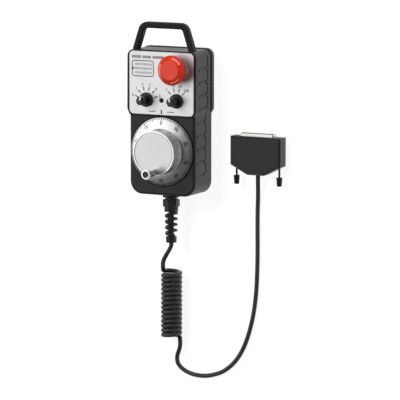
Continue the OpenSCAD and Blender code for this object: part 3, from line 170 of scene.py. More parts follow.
def cord_tube(name, route, radius):
    """The tube round the spline as a mesh: a round section carried along it without twist."""
    before, after = cord_line(route)
    data = bpy.data.curves.new(name, "CURVE")
    data.dimensions, data.resolution_u = "3D", 4
    data.bevel_depth, data.bevel_resolution, data.use_fill_caps = radius, 5, True
    spline = data.splines.new("BEZIER")
    spline.bezier_points.add(len(route) - 1)
    spline.bezier_points.foreach_set("co", route.ravel())
    spline.bezier_points.foreach_set("handle_left", before.ravel())
    spline.bezier_points.foreach_set("handle_right", after.ravel())
    holder = bpy.data.objects.new(name, data)
    bpy.context.scene.collection.objects.link(holder)
    mesh = bpy.data.meshes.new_from_object(holder.evaluated_get(bpy.context.evaluated_depsgraph_get()))
    bpy.data.objects.remove(holder)
    mesh.polygons.foreach_set("use_smooth", np.ones(len(mesh.polygons), bool))
    piece = bpy.data.objects.new(name, mesh)
    bpy.context.scene.collection.objects.link(piece)
    return piece


route = np.vstack([lead_route(), coil_route()[1:], tail_route()]) * MM
cord_path = along_line(route)
cord = cord_tube("curled_cord", route, CORD_D / 2 * MM)
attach(cord, "pendant")
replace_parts(cord, "cord_lead", "cord_coil", "cord_tail")


# ---------------------------------------------------------------- materials

def paint(code):
    """An sRGB hex colour as linear numbers."""
    v = np.array([int(code[i:i + 2], 16) for i in (1, 3, 5)]) / 255
    return (*np.where(v <= 0.04045, v / 12.92, ((v + 0.055) / 1.055) ** 2.4).tolist(), 1.0)


def put(tree, kind, sockets=None, **settings):
    """Adds a node: settings are its properties, sockets its inputs, each a value or (node, output)."""
    node = tree.nodes.new("ShaderNode" + kind)
    for name, value in settings.items():
        setattr(node, name, value)
    for key, value in (sockets or {}).items():
        if isinstance(value, tuple) and isinstance(value[0], bpy.types.Node):
            tree.links.new(value[0].outputs[value[1]], node.inputs[key])
        else:
            node.inputs[key].default_value = value
    return node


def ramp(tree, source, stops):
    """A colour ramp over a node's output: stops are (place, hex) pairs."""
    node = put(tree, "ValToRGB", {"Fac": source})
    while len(node.color_ramp.elements) < len(stops):
        node.color_ramp.elements.new(0.5)
    for element, (place, code) in zip(node.color_ramp.elements, stops):
        element.position, element.color = place, paint(code)
    return node


WAVE_RADIANS = 20  # how far a wave texture of scale 1 turns in a metre


def finish(name, tones, rough, grain, depth, patch=9.0, stretch=(1, 1, 1), edge_tone=None, edge=0.25,
           rings=None, **shader):
    """One surface. tones are its darker and lighter colour, in soft patches of patch mm; rough is its
    lowest and highest roughness; grain mm wide bumps are depth mm deep, drawn out by stretch; edge_tone
    colours the outer edges within edge mm, paler than the rest as rubbed wear, and on the stop button as
    a painted highlight; rings, a centre and the mm in which their wave turns by one radian, makes the
    bumps turned grooves."""
    material = bpy.data.materials.new(name)
    material.use_nodes = True
    tree = material.node_tree
    surface = tree.nodes["Principled BSDF"]
    place = put(tree, "TexCoord")
    mapped = put(tree, "Mapping", {"Vector": (place, "Object"), "Scale": tuple(1 / s for s in stretch)})
    patches = put(tree, "TexNoise", {"Vector": (place, "Object"), "Scale": PER_M / patch, "Detail": 3.0})
    fine = put(tree, "TexNoise", {"Vector": (mapped, "Vector"), "Scale": PER_M / grain, "Detail": 2.0})
    colour = ramp(tree, (patches, "Fac"), [(0.3, tones[0]), (0.7, tones[1])])
    height = fine
    if rings:
        centre, gap = rings
        moved = put(tree, "Mapping", {"Vector": (place, "Object"),
                                      "Location": tuple(-c * MM for c in centre)})
        height = put(tree, "TexWave", {"Vector": (moved, "Vector"), "Scale": PER_M / gap / WAVE_RADIANS,
                                       "Distortion": 0.6, "Detail": 1.0, "Detail Scale": 1.5},
                     wave_type="RINGS", rings_direction="Z")
    level = put(tree, "MapRange", {"Value": (fine, "Fac"), "From Min": 0.3, "From Max": 0.7,
                                   "To Min": rough[0], "To Max": rough[1]})
    bump = put(tree, "Bump", {"Height": (height, "Fac"), "Distance": depth * MM, "Strength": 0.9})
    # Paler outer edges: rubbed wear, and on the stop button a painted highlight
    base = (colour, "Color")
    if edge_tone:
        soft = put(tree, "Bevel", {"Radius": edge * MM}, samples=4)
        flat = put(tree, "NewGeometry")
        bend = put(tree, "VectorMath", {0: (soft, "Normal"), 1: (flat, "Normal")}, operation="DOT_PRODUCT")
        mask = put(tree, "MapRange", {"Value": (bend, "Value"), "From Min": 0.995, "From Max": 0.85,
                                      "To Min": 0.0, "To Max": 0.8})
        mixed = put(tree, "Mix", {"Factor": (mask, "Result"), 6: base, 7: paint(edge_tone)}, data_type="RGBA")
        tree.links.new(soft.outputs["Normal"], bump.inputs["Normal"])
        base = (mixed, 2)
    tree.links.new(base[0].outputs[base[1]], surface.inputs["Base Color"])
    tree.links.new(level.outputs["Result"], surface.inputs["Roughness"])
    tree.links.new(bump.outputs["Normal"], surface.inputs["Normal"])
    for key, value in shader.items():
        surface.inputs[key.replace("_", " ")].default_value = value
    return material


METAL = {"Metallic": 1.0}
FINISHES = {
    # Injection-moulded ABS: a spark-eroded mould leaves an even fine grain and a soft sheen
    "abs_black": finish("abs_spark_grain", ("#131313", "#171717"), (0.4, 0.52), 0.7, 0.012, edge_tone="#1E1E1E"),
    # The same moulding in the rear shell, a little greyer, as from another mould
    "abs_cover": finish("abs_rear_shell", ("#141414", "#191919"), (0.42, 0.55), 0.7, 0.012, edge_tone="#242424"),
    # Soft-touch ABS of the push pad: a shade greyer than the shell and duller
    "abs_grey": finish("abs_push_pad", ("#202022", "#28282A"), (0.5, 0.62), 0.5, 0.01, edge_tone="#3C3C3E"),
    # Phenolic knobs, polished: dark with clear soft highlights
    "knob_black": finish("phenolic_polished", ("#141414", "#1A1A1A"), (0.24, 0.34), 0.9, 0.003,
                         edge_tone="#242424"),
    # Glass-filled nylon: matt, faintly streaked by its fibres
    "nylon_black": finish("nylon_glass_filled", ("#1C1C1C", "#242424"), (0.4, 0.52), 0.6, 0.01,
                          stretch=(1, 3, 1), edge_tone="#2E2E2E"),
    # PVC cord jacket, extruded: smooth satin, a little paler than the case
    "pvc_cord": finish("pvc_jacket", ("#2A2A2A", "#323232"), (0.36, 0.46), 0.8, 0.006),
    # Nitrile rubber seals: near black, fully matt. The same finish makes the painted shade under the wheel's
    # edge and along the panel's edge
    "rubber_seal": finish("nitrile_rubber_and_shade", ("#060606", "#0A0A0A"), (0.8, 0.95), 0.4, 0.01,
                          Specular_IOR_Level=0.2),
    # Zinc-plated steel, bright with a bluish passivation
    "steel_screw": finish("zinc_plated_steel", ("#B0B5BB", "#C6C9CC"), (0.26, 0.38), 0.8, 0.004, **METAL),
    # Panel of satin anodised aluminium: pale, with soft broad reflections; the oxide layer scatters a
    # little of the light, so that shadows on it stay grey
    "panel_alu": finish("anodised_panel", ("#EFEFEF", "#F4F4F4"), (0.4, 0.46), 0.35, 0.0012,
                        stretch=(6, 1, 1), Metallic=0.78),
    # Dial wheel of turned aluminium: shallow rings left by the tool
    "wheel_alu": finish("turned_aluminium", ("#E4E4E4", "#ECECEC"), (0.24, 0.32), 0.5, 0.0012,
                        rings=((0, 0, 0), 0.6), **METAL),
    # Cap plate of brushed aluminium: fine marks drawn out across it, which soften its highlights
    "cap_alu": finish("brushed_aluminium", ("#D4D4D4", "#DADADA"), (0.3, 0.36), 0.4, 0.0016,
                      stretch=(12, 1, 1), **METAL),
    # Die-cast aluminium of the encoder: a dull, slightly uneven skin
    "encoder_alu": finish("die_cast_aluminium", ("#8A8D91", "#9DA0A3"), (0.45, 0.6), 1.2, 0.02, **METAL),
    # PBT mouldings behind the wall: dark, satin, with paler corners
    "plastic_dark": finish("pbt_moulding", ("#1E1F21", "#282A2C"), (0.4, 0.55), 0.6, 0.01, edge_tone="#3A3B3D"),
    # Ground bearing steel: bright, with sharp reflections
    "bearing_steel": finish("ground_bearing_steel", ("#B8BBBE", "#CFD1D3"), (0.12, 0.22), 0.4, 0.001,
                            **METAL),
    # Glass-epoxy board under green solder mask: smooth, faintly mottled
    "board_green": finish("glass_epoxy_board", ("#14512B", "#1C6438"), (0.28, 0.4), 0.9, 0.006),
    # Etched steel disc of the encoder: mid grey, softer than the bearings
    "disc_steel": finish("etched_steel_disc", ("#888D93", "#A3A8AD"), (0.22, 0.34), 0.5, 0.002, **METAL),
    # Blue PBT of the rotary switches: a plain deep blue, satin
    "plastic_blue": finish("pbt_blue", ("#1F3F78", "#274A86"), (0.38, 0.5), 0.6, 0.008),
    # Smoked polycarbonate lens: near black and clear
    "lens_dark": finish("smoked_polycarbonate", ("#050505", "#080808"), (0.08, 0.14), 1.0, 0.001,
                        Specular_IOR_Level=0.25),
    # Stop button of glossy moulded ABS in signal red: clear highlights on its rounded edges, helped by a
    # paler edge tone that is a painted highlight
    "estop_red": finish("abs_signal_red", ("#D13018", "#D6361C"), (0.2, 0.27), 1.0, 0.004, edge_tone="#E25A48",
                        edge=0.4),
    # Music-wire spring: drawn, smooth and fairly bright
    "spring_steel": finish("spring_wire", ("#9FA2A6", "#B9BCC0"), (0.2, 0.32), 0.5, 0.002, **METAL),
    # Ivory acetal plunger: warm, waxy and smooth
    "plastic_ivory": finish("acetal_ivory", ("#CDC7B6", "#DAD5C6"), (0.35, 0.45), 0.8, 0.004),
    # Red polyamide of the micro switch: dark red, dull
    "plastic_red": finish("polyamide_red", ("#8E1E1E", "#A12626"), (0.4, 0.5), 0.7, 0.006),
    # Hood of the plug, moulded ABS: near black, satin, with the edges a little paler
    "hood_black": finish("abs_hood", ("#111111", "#151515"), (0.38, 0.48), 0.7, 0.01, edge_tone="#1E1E1E"),
    # Tinned steel shell of the plug: pale and a little cloudy
    "shell_tin": finish("tinned_steel", ("#DCDCDA", "#EAEAE8"), (0.24, 0.36), 0.9, 0.003, **METAL),
    # Glass-filled PBT insulator: black and matt
    "insulator_black": finish("pbt_insulator", ("#0C0C0C", "#121212"), (0.6, 0.7), 0.5, 0.006,
                              Specular_IOR_Level=0.2),
    # Gold flash over brass: warm and bright
    "contact_gold": finish("gold_flashed_brass", ("#C79A45", "#DDB35C"), (0.18, 0.3), 0.5, 0.002, **METAL),
    # Thumb heads of the jackscrews, moulded nylon: black, with edges rubbed paler
    "screw_black": finish("nylon_thumb_head", ("#080808", "#0C0C0C"), (0.45, 0.55), 0.6, 0.006,
                          edge_tone="#2A2A2A"),
}
# Screen-printed inks: matt, with a slightly uneven tone
INK_BLACK = finish("ink_black", ("#0A0A0A", "#121212"), (0.5, 0.62), 0.25, 0.002)
INK_WHITE = finish("ink_white", ("#E4E4E0", "#F2F2EE"), (0.5, 0.6), 0.25, 0.002)
INK_PALE = finish("ink_pale_red", ("#EE8A78", "#F49A88"), (0.4, 0.5), 0.25, 0.002)

# The collar under the stop head is moulded in pale grey; the spinner's screw is blackened steel
COLLAR_GREY = finish("pbt_pale_grey", ("#CBCBCB", "#D3D3D3"), (0.4, 0.5), 0.6, 0.008, edge_tone="#DCDCDC")
SCREW_BLACKENED = finish("blackened_steel", ("#5A5A5C", "#646466"), (0.28, 0.4), 0.6, 0.004, **METAL)
# Polished aluminium of the cap's bezel and the spinner: smooth, with clear bright highlights
POLISHED = finish("polished_aluminium", ("#F2F2F2", "#F8F8F8"), (0.12, 0.2), 0.5, 0.0008, **METAL)
# The handle is a darker nylon with a dull skin, the gland's body a greyer one
NYLON_GREY = finish("nylon_weathered", ("#2A2A2A", "#323232"), (0.4, 0.5), 0.6, 0.01, edge_tone="#3C3C3C")
HANDLE_DULL = finish("nylon_dull", ("#131313", "#191919"), (0.5, 0.62), 0.6, 0.01, edge_tone="#222222",
                     Specular_IOR_Level=0.32)
# Nodes that look different from the rest of their slot
SPECIAL = {"gland_body": NYLON_GREY, "carry_handle": HANDLE_DULL, "estop_collar": COLLAR_GREY,
           "spinner_screw": SCREW_BLACKENED, "spinner_knob": POLISHED}

for name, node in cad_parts.items():
    slot = node.data.materials[0].name
    for place in node.material_slots:
        place.link = "OBJECT"
        place.material = SPECIAL.get(name, FINISHES[slot])
cord.data.materials.append(FINISHES["pvc_cord"])


# ---------------------------------------------------------------- mesh making

def skin(grid, close_u=False, close_v=True):
    """Quads between neighbours of a (rows, columns, 3) grid of points, closed round in u or v."""
    rows, cols = grid.shape[:2]
    ids = np.arange(rows * cols).reshape(rows, cols)
    u = np.arange(rows + close_u) % rows
    v = np.arange(cols + close_v) % cols
    corner = [ids[np.ix_(a, b)] for a, b in
              ((u[:-1], v[:-1]), (u[1:], v[:-1]), (u[1:], v[1:]), (u[:-1], v[1:]))]
    return grid.reshape(-1, 3), np.stack(corner, -1).reshape(-1, 4)


def capped(grid):
    """A skin over rows that are rings, closed at its ends by rows that shrink to the ring's middle."""
    ends = [np.repeat(grid[i].mean(0)[None], grid.shape[1], 0)[None] for i in (0, -1)]
    return skin(np.vstack([ends[0], grid, ends[1]]))


def gather(name, shapes, body, slot=None, material=None, angle=35):
    """One piece from (points in mm, faces) shapes: poles and seams merged, faces turned outwards, edges
    sharper than angle kept sharp. Its slot's finish is used where no material is given."""
    points = np.vstack([p for p, _ in shapes]) * MM
    start = np.cumsum([0] + [len(p) for p, _ in shapes])
    faces = [[i + s for i in f] for (_, fs), s in zip(shapes, start.tolist()) for f in
             (fs.tolist() if isinstance(fs, np.ndarray) else fs)]
    mesh = bpy.data.meshes.new(name)
    mesh.from_pydata(points.tolist(), [], faces)
    form = bmesh.new()
    form.from_mesh(mesh)
    bmesh.ops.remove_doubles(form, verts=form.verts, dist=1e-7)
    bmesh.ops.recalc_face_normals(form, faces=form.faces)
    form.to_mesh(mesh)
    form.free()
    mesh.polygons.foreach_set("use_smooth", np.ones(len(mesh.polygons), bool))
    mesh.set_sharp_from_angle(angle=np.radians(angle))
    mesh.materials.append(material or FINISHES[slot])
    piece = bpy.data.objects.new(name, mesh)
    bpy.context.scene.collection.objects.link(piece)
    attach(piece, body)
    return piece


def revolved(loop, sides, swell=None):
    """A closed (radius, height) loop turned about the Z axis; swell(angles, loop) gives what is added to
    each radius."""
    loop = np.array(loop, float)
    t = np.linspace(0, 2 * np.pi, sides, endpoint=False)
    r = loop[:, :1] + (swell(t, loop) if swell else np.zeros(sides))
    z = np.broadcast_to(loop[:, 1:], r.shape)
    return skin(np.stack([r * np.cos(t), r * np.sin(t), z], -1), close_u=True)


def ribbon(path, width, low, high):
    """A flat strip along a plan path: offsets of half the width to both sides, between two heights."""
    path = np.array(path, float)
    along = np.gradient(path, axis=0)
    along /= np.linalg.norm(along, axis=1)[:, None]
    side = np.column_stack([-along[:, 1], along[:, 0]]) * width / 2
    ring = [np.column_stack([path + side * s, np.full(len(path), z)])
            for s, z in ((-1, low), (1, low), (1, high), (-1, high))]
    return capped(np.stack(ring, 1))


# The height of a digit of the built-in face at size 1, and how much bolder the digits are than the face
DIGIT_HEIGHT, BOLDER = 0.72, 0.02


def lettering(text, size, turn, thick):
    """Plain digits in the built-in face, size mm high, as a mesh thick mm to each side, moved by turn."""
    data = bpy.data.curves.new("lettering", "FONT")
    data.body, data.size, data.extrude = text, size / DIGIT_HEIGHT, thick
    data.align_x, data.align_y, data.resolution_u = "CENTER", "CENTER", 3
    data.offset = BOLDER * size
    holder = bpy.data.objects.new("lettering", data)
    bpy.context.scene.collection.objects.link(holder)
    mesh = bpy.data.meshes.new_from_object(holder.evaluated_get(bpy.context.evaluated_depsgraph_get()))
    points = np.zeros(len(mesh.vertices) * 3)
    mesh.vertices.foreach_get("co", points)
    faces = [list(p.vertices) for p in mesh.polygons]
    bpy.data.objects.remove(holder)
    bpy.data.meshes.remove(mesh)
    turn = np.array(turn)
    return points.reshape(-1, 3) @ turn[:3, :3].T + turn[:3, 3], faces


def turned(angle, at=(0, 0, 0), tilt=0.0):
    """A move that tilts about X, turns about Z by degrees, and shifts to a point."""
    return (Matrix.Translation(Vector(at)) @ Matrix.Rotation(np.radians(angle), 4, "Z")
            @ Matrix.Rotation(np.radians(tilt), 4, "X"))


# ---------------------------------------------------------------- dial wheel

# Radii of the wheel, its boss and the cap; heights of its underside, rim, foot of the boss, top of the
# boss and seat of the cap; the hub's lower end, radius and bore, and the ceiling of the hollow round it
WHEEL_R, BOSS_R, CAP_R = 34.3, 22.7, 20.75
WHEEL_LOW, RIM_Z, CONE_Z, BOSS_Z, CAP_Z = 38.9, 39.5, 42.1, 57.2, 56.6
HUB_LOW, HUB_R, SHAFT_R, ROOF = 41.1, 7.4, 3.02, 53.6
# The conical ring between boss and rim: its outer edge lies 0.4 mm in from the rim, its inner 1 mm off
# the boss
CONE_OUT = WHEEL_R - 0.4
CONE_RISE, CONE_WIDTH = CONE_Z - 0.15 - RIM_Z, WHEEL_R - 1.4 - BOSS_R


def cone_height(r):
    """Height of the conical ring: falls evenly from the foot of the boss to the rim."""
    return RIM_Z + CONE_RISE * (CONE_OUT - r) / CONE_WIDTH


def notches(t, loop, count=100, depth=0.5):
    """A notch in the rim at the outer end of each division: flat crests, flat bottoms, slanted sides."""
    saw = np.abs((t * count / (2 * np.pi)) % 1 - 0.5) * 2
    return -depth * np.clip(2.6 * saw - 1.4, 0, 1) * (loop[:, :1] > WHEEL_R - 0.45)


def wheel_section():
    """Half section of the wheel, up the outside, over the seat of the cap, and down round the hub."""
    b = BOSS_R
    return [[WHEEL_R - .3, WHEEL_LOW], [WHEEL_R, WHEEL_LOW + .2], [WHEEL_R, RIM_Z - .15],
            [WHEEL_R - .2, RIM_Z - .02], [WHEEL_R - 2.2, cone_height(WHEEL_R - 2.2)],
            [b + 1, CONE_Z - .15], [b + .45, CONE_Z - .1], [b + .2, CONE_Z + .12], [b, CONE_Z + .6],
            [b, BOSS_Z - .6], [b - .4, BOSS_Z - .6], [b - .4, CAP_Z], [SHAFT_R, CAP_Z],
            [SHAFT_R, HUB_LOW], [HUB_R, HUB_LOW], [HUB_R, ROOF], [b - 2.4, ROOF], [b - 2.4, WHEEL_LOW]]


wheel = gather("dial_wheel", [revolved(wheel_section(), 800, swell=notches)], "handwheel", "wheel_alu",
               angle=28)
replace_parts(wheel, "handwheel")


def cap_bezel():
    """The turned ring that holds the cap: a flat top with both edges rounded by quarter circles, the
    outer one of radius 0.45 mm, and a foot in the wheel's seat."""
    b, top = BOSS_R, BOSS_Z + .05
    out, back = np.radians(np.linspace(0, 90, 7)), np.radians(np.linspace(90, 180, 4))
    outer = np.column_stack([b - .45 + .45 * np.cos(out), top - .45 + .45 * np.sin(out)])
    inner = np.column_stack([CAP_R + .7 + .2 * np.cos(back), top - .2 + .2 * np.sin(back)])
    return revolved([[b, BOSS_Z - .58], *outer.tolist(), *inner.tolist(), [CAP_R + .5, CAP_Z + .01],
                     [b - .42, CAP_Z + .01], [b - .42, BOSS_Z - .58]], 240)


gather("cap_bezel", [cap_bezel()], "handwheel", "wheel_alu", POLISHED)


def cap_disc():
    """The plate in the bezel: a disc with a fine edge break, and a dark gap of half a millimetre round it."""
    return revolved([[0, CAP_Z + .01], [CAP_R, CAP_Z + .01], [CAP_R, BOSS_Z - .2],
                     [CAP_R - .15, BOSS_Z - .05], [0, BOSS_Z - .05]], 240)


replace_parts(gather("cap_disc", [cap_disc()], "handwheel", "cap_alu"), "handwheel_cap")


def wheel_shade_ring():
    """Painted shade: a flat, near-black ring in the rubber finish that stands for the shade in the gap under
    the wheel, a little wider than the wheel.
    """
    return revolved([[31, 38.35], [35.4, 38.35], [35.4, 38.6], [35.25, 38.75], [31, 38.75]], 240)


# A dark ring of painted shade round the foot of the wheel
gather("wheel_shade_ring", [wheel_shade_ring()], "pendant", "rubber_seal")


def dial_ticks(count=100, width=0.75, edge=0.68, lengths=(2.2, 2.9, 3.5)):
    """Thin bars that lie on the cone, edge mm in from the rim: every fifth and tenth reaches further in."""
    n = np.arange(count)
    inner = WHEEL_R - np.where(n % 10 == 0, lengths[2], np.where(n % 5 == 0, lengths[1], lengths[0]))
    t = np.pi / 2 + 2 * np.pi * n / count
    r = np.stack([inner, np.full(count, WHEEL_R - edge)], 1)
    out = np.stack([np.cos(t), np.sin(t)], 1)
    side = np.stack([-np.sin(t), np.cos(t)], 1) * width / 2
    corner = [np.concatenate([out * r[:, [i]] + side * s, cone_height(r[:, [i]]) + lift], 1)
              for lift in (-.06, .05) for i, s in ((0, -1), (0, 1), (1, 1), (1, -1))]
    points = np.stack(corner, 1).reshape(-1, 3)
    box = np.array([[0, 1, 2, 3], [4, 5, 6, 7], [0, 1, 5, 4], [1, 2, 6, 5], [2, 3, 7, 6], [3, 0, 4, 7]])
    return points, (box[None] + 8 * n[:, None, None]).reshape(-1, 4)


def dial_numerals(r=28.6, size=3.7):
    """Ten plain numbers round the cone at radius r, feet towards the boss, tilted with it."""
    slope = np.degrees(np.arctan(CONE_RISE / CONE_WIDTH))
    shapes = []
    for turn in range(0, 360, 36):
        t = np.radians(90 + turn)
        at = (r * np.cos(t), r * np.sin(t), cone_height(r))
        shapes.append(lettering(str(turn * 100 // 360), size, turned(turn, at, -slope), 0.06))
    return shapes


gather("dial_marks", [dial_ticks()] + dial_numerals(), "handwheel", material=INK_BLACK)


# ---------------------------------------------------------------- panel print

def box_mm(node):
    """Lowest and highest corner of a CAD node in mm, as two rows."""
    return np.array(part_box(node)) / MM


PANEL_LOW, PANEL_HIGH = box_mm("face_panel")
PANEL_Z = PANEL_HIGH[2]
INK_LOW, INK_HIGH = PANEL_Z - .02, PANEL_Z + .05
SELECTORS = {name: box_mm(name + "_shaft").mean(0)[:2] for name in ("axis", "scale")}
KNOB_TOP = box_mm("axis_knob")[1, 2]
STOP = box_mm("estop_head").mean(0)[:2]


def arc(x, y, r, a, b, n):
    """Points on a circle about x, y from angle a to b."""
    t = np.radians(np.linspace(a, b, n))
    return np.column_stack([x + r * np.cos(t), y + r * np.sin(t)])


def arrow_head(foot, tip, half=0.65):
    """A solid triangle: half of its base to each side of the foot, and its point at the tip."""
    foot, tip = np.array(foot, float), np.array(tip, float)
    way = (tip - foot) / np.linalg.norm(tip - foot)
    side = np.array([-way[1], way[0]]) * half
    flat = np.array([foot - side, tip, foot + side])
    grid = np.stack([np.column_stack([flat, np.full(3, z)]) for z in (INK_LOW, INK_HIGH)])
    points, faces = skin(grid)
    return points, faces.tolist() + [[0, 1, 2], [5, 4, 3]]


def arrow(tail, tip, width=0.35, head=1.5):
    """A line that ends in a solid head."""
    tail, tip = np.array(tail, float), np.array(tip, float)
    foot = tip - (tip - tail) / np.linalg.norm(tip - tail) * head
    return [mark(np.linspace(tail, foot, 3), width), arrow_head(foot, tip)]


def mark(path, width):
    """A line of ink on the panel."""
    return ribbon(path, width, INK_LOW, INK_HIGH)


def outline(cx, cy, hw, hl, r):
    """A closed line round a field with rounded corners, from half its width and length."""
    line = np.vstack([arc(cx + i * (hw - r), cy + j * (hl - r), r, a, a + 90, 6)
                      for i, j, a in ((1, 1, 0), (-1, 1, 90), (-1, -1, 180), (1, -1, 270))])
    return np.vstack([line, line[:1]])


def ruled_row(x, y, length, count, height, fill):
    """A plain ruled row: equal upright bars, each of them fill of the step from one to the next."""
    step = length / (count - 1 + fill)
    return [mark(np.column_stack([x + (i + np.linspace(0, fill, 3)) * step, np.full(3, y)]), height)
            for i in range(count)]


def selector_scale(middle, names, inner=9.3, outer=13.2, number_r=15.5, step=30):
    """Ticks round a selector, step degrees apart and even about its middle line, with plain numbers."""
    shapes = []
    for i, name in enumerate(names):
        t = np.radians(90 - step * (i - (len(names) - 1) / 2))
        way = np.array([np.cos(t), np.sin(t)])
        shapes.append(mark(middle + np.outer(np.linspace(inner, outer, 3), way), 1.05))
        shapes.append(lettering(name, 2.8, turned(0, (*(middle + way * number_r), PANEL_Z)), 0.05))
    return shapes


def framed_field(cx=-20.8, cy=82.4, hw=11.8, hl=7.7, heading_y=94):
    """A rounded frame from its middle and half sizes, with a triangle on its left side and three ruled
    rows in it, under a heading of three ruled groups."""
    left = cx - hw
    shapes = [mark(outline(cx, cy, hw, hl, 2), 0.8), arrow_head((left - .3, cy), (left + 2.8, cy), 1.9)]
    for row in (-4.2, 0, 4.2):
        shapes += ruled_row(cx - 8.6, cy + row, 18.4, 15, 2.3, 0.36)
    for start, length, count in ((0, 9.6, 8), (11.6, 9.2, 8), (22.8, 12.4, 11)):
        shapes += ruled_row(left + start, heading_y, length, count, 2.8, 0.6)
    return shapes


def panel_print():
    """Both selector scales, the framed field, the index line of the dial and an arrow on each side."""
    shapes = selector_scale(SELECTORS["axis"], "012345")
    shapes += selector_scale(SELECTORS["scale"], ["1", "10", "50", "100"])
    shapes += framed_field()
    shapes.append(mark([[0, 37.8], [0, 40], [0, 42.1]], 1.3))
    for side in (-1, 1):
        shapes += arrow((side * 6.5, 40), (side * 14.5, 40), 0.65)
    return shapes


gather("panel_print", panel_print(), "pendant", material=INK_BLACK)


def panel_shade_bead():
    """Painted shade in the joint between the panel and its rim: a near-black bead along the panel's edge,
    half a millimetre wide, that stands up to just under the rim."""
    (cx, cy, _), (hw, hl, _) = (PANEL_LOW + PANEL_HIGH) / 2, (PANEL_HIGH - PANEL_LOW) / 2
    return ribbon(outline(cx, cy, hw - .2, hl - .2, 4.6), 0.5, PANEL_Z - .05, PANEL_Z + .25)


# A dark line of painted shade round the panel's edge
gather("panel_shade_bead", [panel_shade_bead()], "pendant", "rubber_seal")


# ---------------------------------------------------------------- pointer lines and reset arrows

def pointer_line(x, y, turn, start=0.65, half=3.1, width=1.4, edge=1.3):
    """White paint that fills the groove in the knob's top and runs over its rounded edge: a bar along
    the pointer's own direction, flat from start and then, at half, down an arc of radius edge."""
    down = np.radians(np.linspace(0, 70, 7))
    along = np.concatenate([[start, half - .6], half + edge * np.sin(down)])
    level = np.concatenate([[KNOB_TOP, KNOB_TOP], KNOB_TOP - edge + edge * np.cos(down)])
    lean = np.concatenate([[0, 0], down])
    t = np.radians(90 - turn)
    way, side = np.array([np.cos(t), np.sin(t), 0]), np.array([-np.sin(t), np.cos(t), 0]) * width / 2
    ring = []
    for lift, s in ((-.3, -1), (-.3, 1), (.06, 1), (.06, -1)):
        spot = np.outer(along + lift * np.sin(lean), way) + [x, y, 0] + side * s
        spot[:, 2] = level + lift * np.cos(lean)
        ring.append(spot)
    return capped(np.stack(ring, 1))


for name, body, turn in (("axis", "axis_selector", 15), ("scale", "scale_selector", -15)):
    gather(name + "_pointer", [pointer_line(*SELECTORS[name], turn)], body, material=INK_WHITE)


# The bevel of the stop head: its inner radius, the height there and how much it falls per mm outwards
BEVEL_R, BEVEL_Z, BEVEL_FALL = 9.7, 56.34, 0.6596


def reset_arrow(middle, half=25, inner=11.0, outer=13.4):
    """A curved arrow on the bevel of the stop head: a band of rings from radius inner to outer whose
    width grows and then runs to a point at its tip; the height follows the bevel."""
    a = np.array([-half, -half / 2, 0, half / 2 - 3, half - 9, half - 9, half])
    w = np.array([.5, .5, .5, .5, .5, 1.15, .02]) * (outer - inner)
    t = np.radians(middle - a)
    r = (inner + outer) / 2 + np.outer(w, np.linspace(-.5, .5, 5))
    z = BEVEL_Z - BEVEL_FALL * (r - BEVEL_R)
    flat = np.stack([STOP[0] + r * np.cos(t)[:, None], STOP[1] + r * np.sin(t)[:, None]], -1)
    top = np.dstack([flat, z + .06])
    low = np.dstack([flat, z - .05])[:, ::-1]
    return capped(np.concatenate([top, low], 1))


gather("reset_arrows", [reset_arrow(a) for a in (55, -65, 175)], "stop_head", material=INK_PALE)


# ---------------------------------------------------------------- spring under the stop head

# How far the head goes down, the wire's diameter, its turns, and the gap left over it with the head down
STOP_TRAVEL, SPRING_WIRE, SPRING_TURNS, SPRING_FREE = 4.0, 0.7, 3.5, 0.15


def spring_coil(node, wire, turns):
    """A helix that fills the node's box: the wire's round section is carried round an upright axis while
    the height grows evenly from one end to the other."""
    low, high = box_mm(node)
    (x, y, _), (r, _, _) = (low + high) / 2, (high - low) / 2 - wire / 2
    t = np.linspace(0, 2 * np.pi * turns, int(36 * turns))[:, None]
    a = np.linspace(0, 2 * np.pi, 10, endpoint=False)
    around = r + wire / 2 * np.cos(a)
    level = low[2] + wire / 2 + (high[2] - low[2] - wire) * t / t[-1]
    return capped(np.stack([x + around * np.cos(t), y + around * np.sin(t),
                            level + wire / 2 * np.sin(a)], -1))


spring = gather("stop_spring", [spring_coil("estop_spring", SPRING_WIRE, SPRING_TURNS)], "pendant",
                "spring_steel")
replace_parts(spring, "estop_spring")
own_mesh(spring)


# ---------------------------------------------------------------- floor, light and air

def mirrored(tree, path):
    """1 for what reflections see and what shows through clear surfaces, else 0."""
    return put(tree, "Math", {0: (path, "Is Glossy Ray"), 1: (path, "Is Transmission Ray")},
               operation="MAXIMUM")


def make_floor(eye=0.91, half=4, z=-5e-5):
    """A pale floor just under the object, sizes in metres: it shows white to the eye and to reflections,
    and keeps the shadow. eye is its glow to the camera."""
    material = bpy.data.materials.new("pale_floor")
    material.use_nodes = True
    tree = material.node_tree
    tree.nodes.remove(tree.nodes["Principled BSDF"])
    path = put(tree, "LightPath")
    seen = put(tree, "Math", {0: (path, "Is Camera Ray"), 1: eye}, operation="MULTIPLY")
    glow = put(tree, "Math", {0: (seen, "Value"), 1: (mirrored(tree, path), "Value")}, operation="MAXIMUM")
    matt = put(tree, "BsdfDiffuse", {"Color": paint("#787878")})
    shine = put(tree, "Emission", {"Color": paint("#FFFFFF"), "Strength": (glow, "Value")})
    both = put(tree, "AddShader", {0: (matt, "BSDF"), 1: (shine, "Emission")})
    tree.links.new(both.outputs["Shader"], tree.nodes["Material Output"].inputs["Surface"])
    mesh = bpy.data.meshes.new("floor")
    mesh.from_pydata([(-half, -half, z), (half, -half, z), (half, half, z), (-half, half, z)], [],
                     [(0, 1, 2, 3)])
    mesh.materials.append(material)
    floor = bpy.data.objects.new("floor", mesh)
    bpy.context.scene.collection.objects.link(floor)


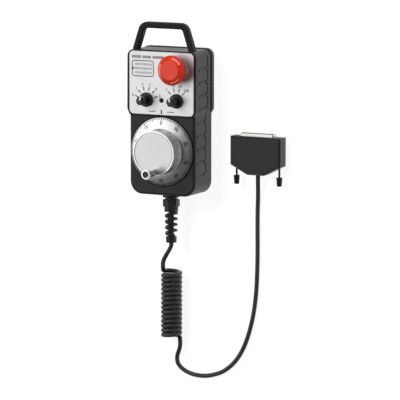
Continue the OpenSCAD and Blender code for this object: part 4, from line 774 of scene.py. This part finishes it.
def make_world(even=0.08):
    """Studio air. The eye sees white. Reflections see a wide soft window up on the left, a paler one
    beyond the top end, grey card all round and a lighter card low on the right; matt surfaces get the
    level even."""
    world = bpy.data.worlds.new("studio")
    bpy.context.scene.world = world
    world.use_nodes = True
    tree = world.node_tree
    place = put(tree, "TexCoord")

    def nearness(way):
        """The cosine of the angle between a ray and a direction."""
        return put(tree, "VectorMath", {0: (place, "Generated"), 1: tuple(Vector(way).normalized())},
                   operation="DOT_PRODUCT")

    shade = ramp(tree, (nearness((-0.62, 0.12, 0.775)), "Value"),
                 [(0.0, "#626262"), (0.5, "#3C3C3C"), (0.70, "#303030"), (0.78, "#363636"),
                  (0.84, "#4C4C4C"), (0.88, "#868686"), (0.93, "#FAFAFA"), (1.0, "#FFFFFF")])
    beyond = put(tree, "MapRange", {"Value": (nearness((0, 0.85, 0.53)), "Value"), "From Min": 0.76,
                                    "From Max": 0.97, "To Min": 0.0, "To Max": 0.55},
                 interpolation_type="SMOOTHSTEP")
    shade = put(tree, "Math", {0: (shade, "Color"), 1: (beyond, "Result")}, operation="MAXIMUM")
    card = put(tree, "MapRange", {"Value": (nearness((0.88, -0.12, 0.46)), "Value"), "From Min": 0.72,
                                  "From Max": 0.92, "To Min": 1.5, "To Max": 2.4},
               interpolation_type="SMOOTHSTEP")
    shade = put(tree, "Math", {0: (shade, "Value"), 1: (card, "Result")}, operation="MULTIPLY")
    path = put(tree, "LightPath")
    level = put(tree, "Mix", {0: (mirrored(tree, path), "Value"), 2: even, 3: (shade, "Value")})
    level = put(tree, "Mix", {0: (path, "Is Camera Ray"), 2: (level, 0), 3: 1.0})
    tree.links.new(level.outputs[0], tree.nodes["Background"].inputs["Strength"])
    tree.nodes["Background"].inputs["Color"].default_value = paint("#FFFFFF")


def make_lamp(name, at, size, power, aim=(0.02, 0, 0.02)):
    """A square soft box that faces the pendant: places and size in metres, power in watts."""
    data = bpy.data.lights.new(name, "AREA")
    data.size, data.energy = size, power
    lamp = bpy.data.objects.new(name, data)
    lamp.visible_glossy = False  # reflections see the window of the studio air instead
    bpy.context.scene.collection.objects.link(lamp)
    turn = (Vector(aim) - Vector(at)).to_track_quat("-Z", "Y").to_matrix().to_4x4()
    lamp.matrix_world = Matrix.Translation(Vector(at)) @ turn


make_floor()
make_world()
make_lamp("key", (-0.8, 0.9, 1.6), 1.0, 41)
make_lamp("fill", (1.5, 0.2, 0.6), 0.8, 6)
bpy.context.scene.view_settings.view_transform = "Standard"
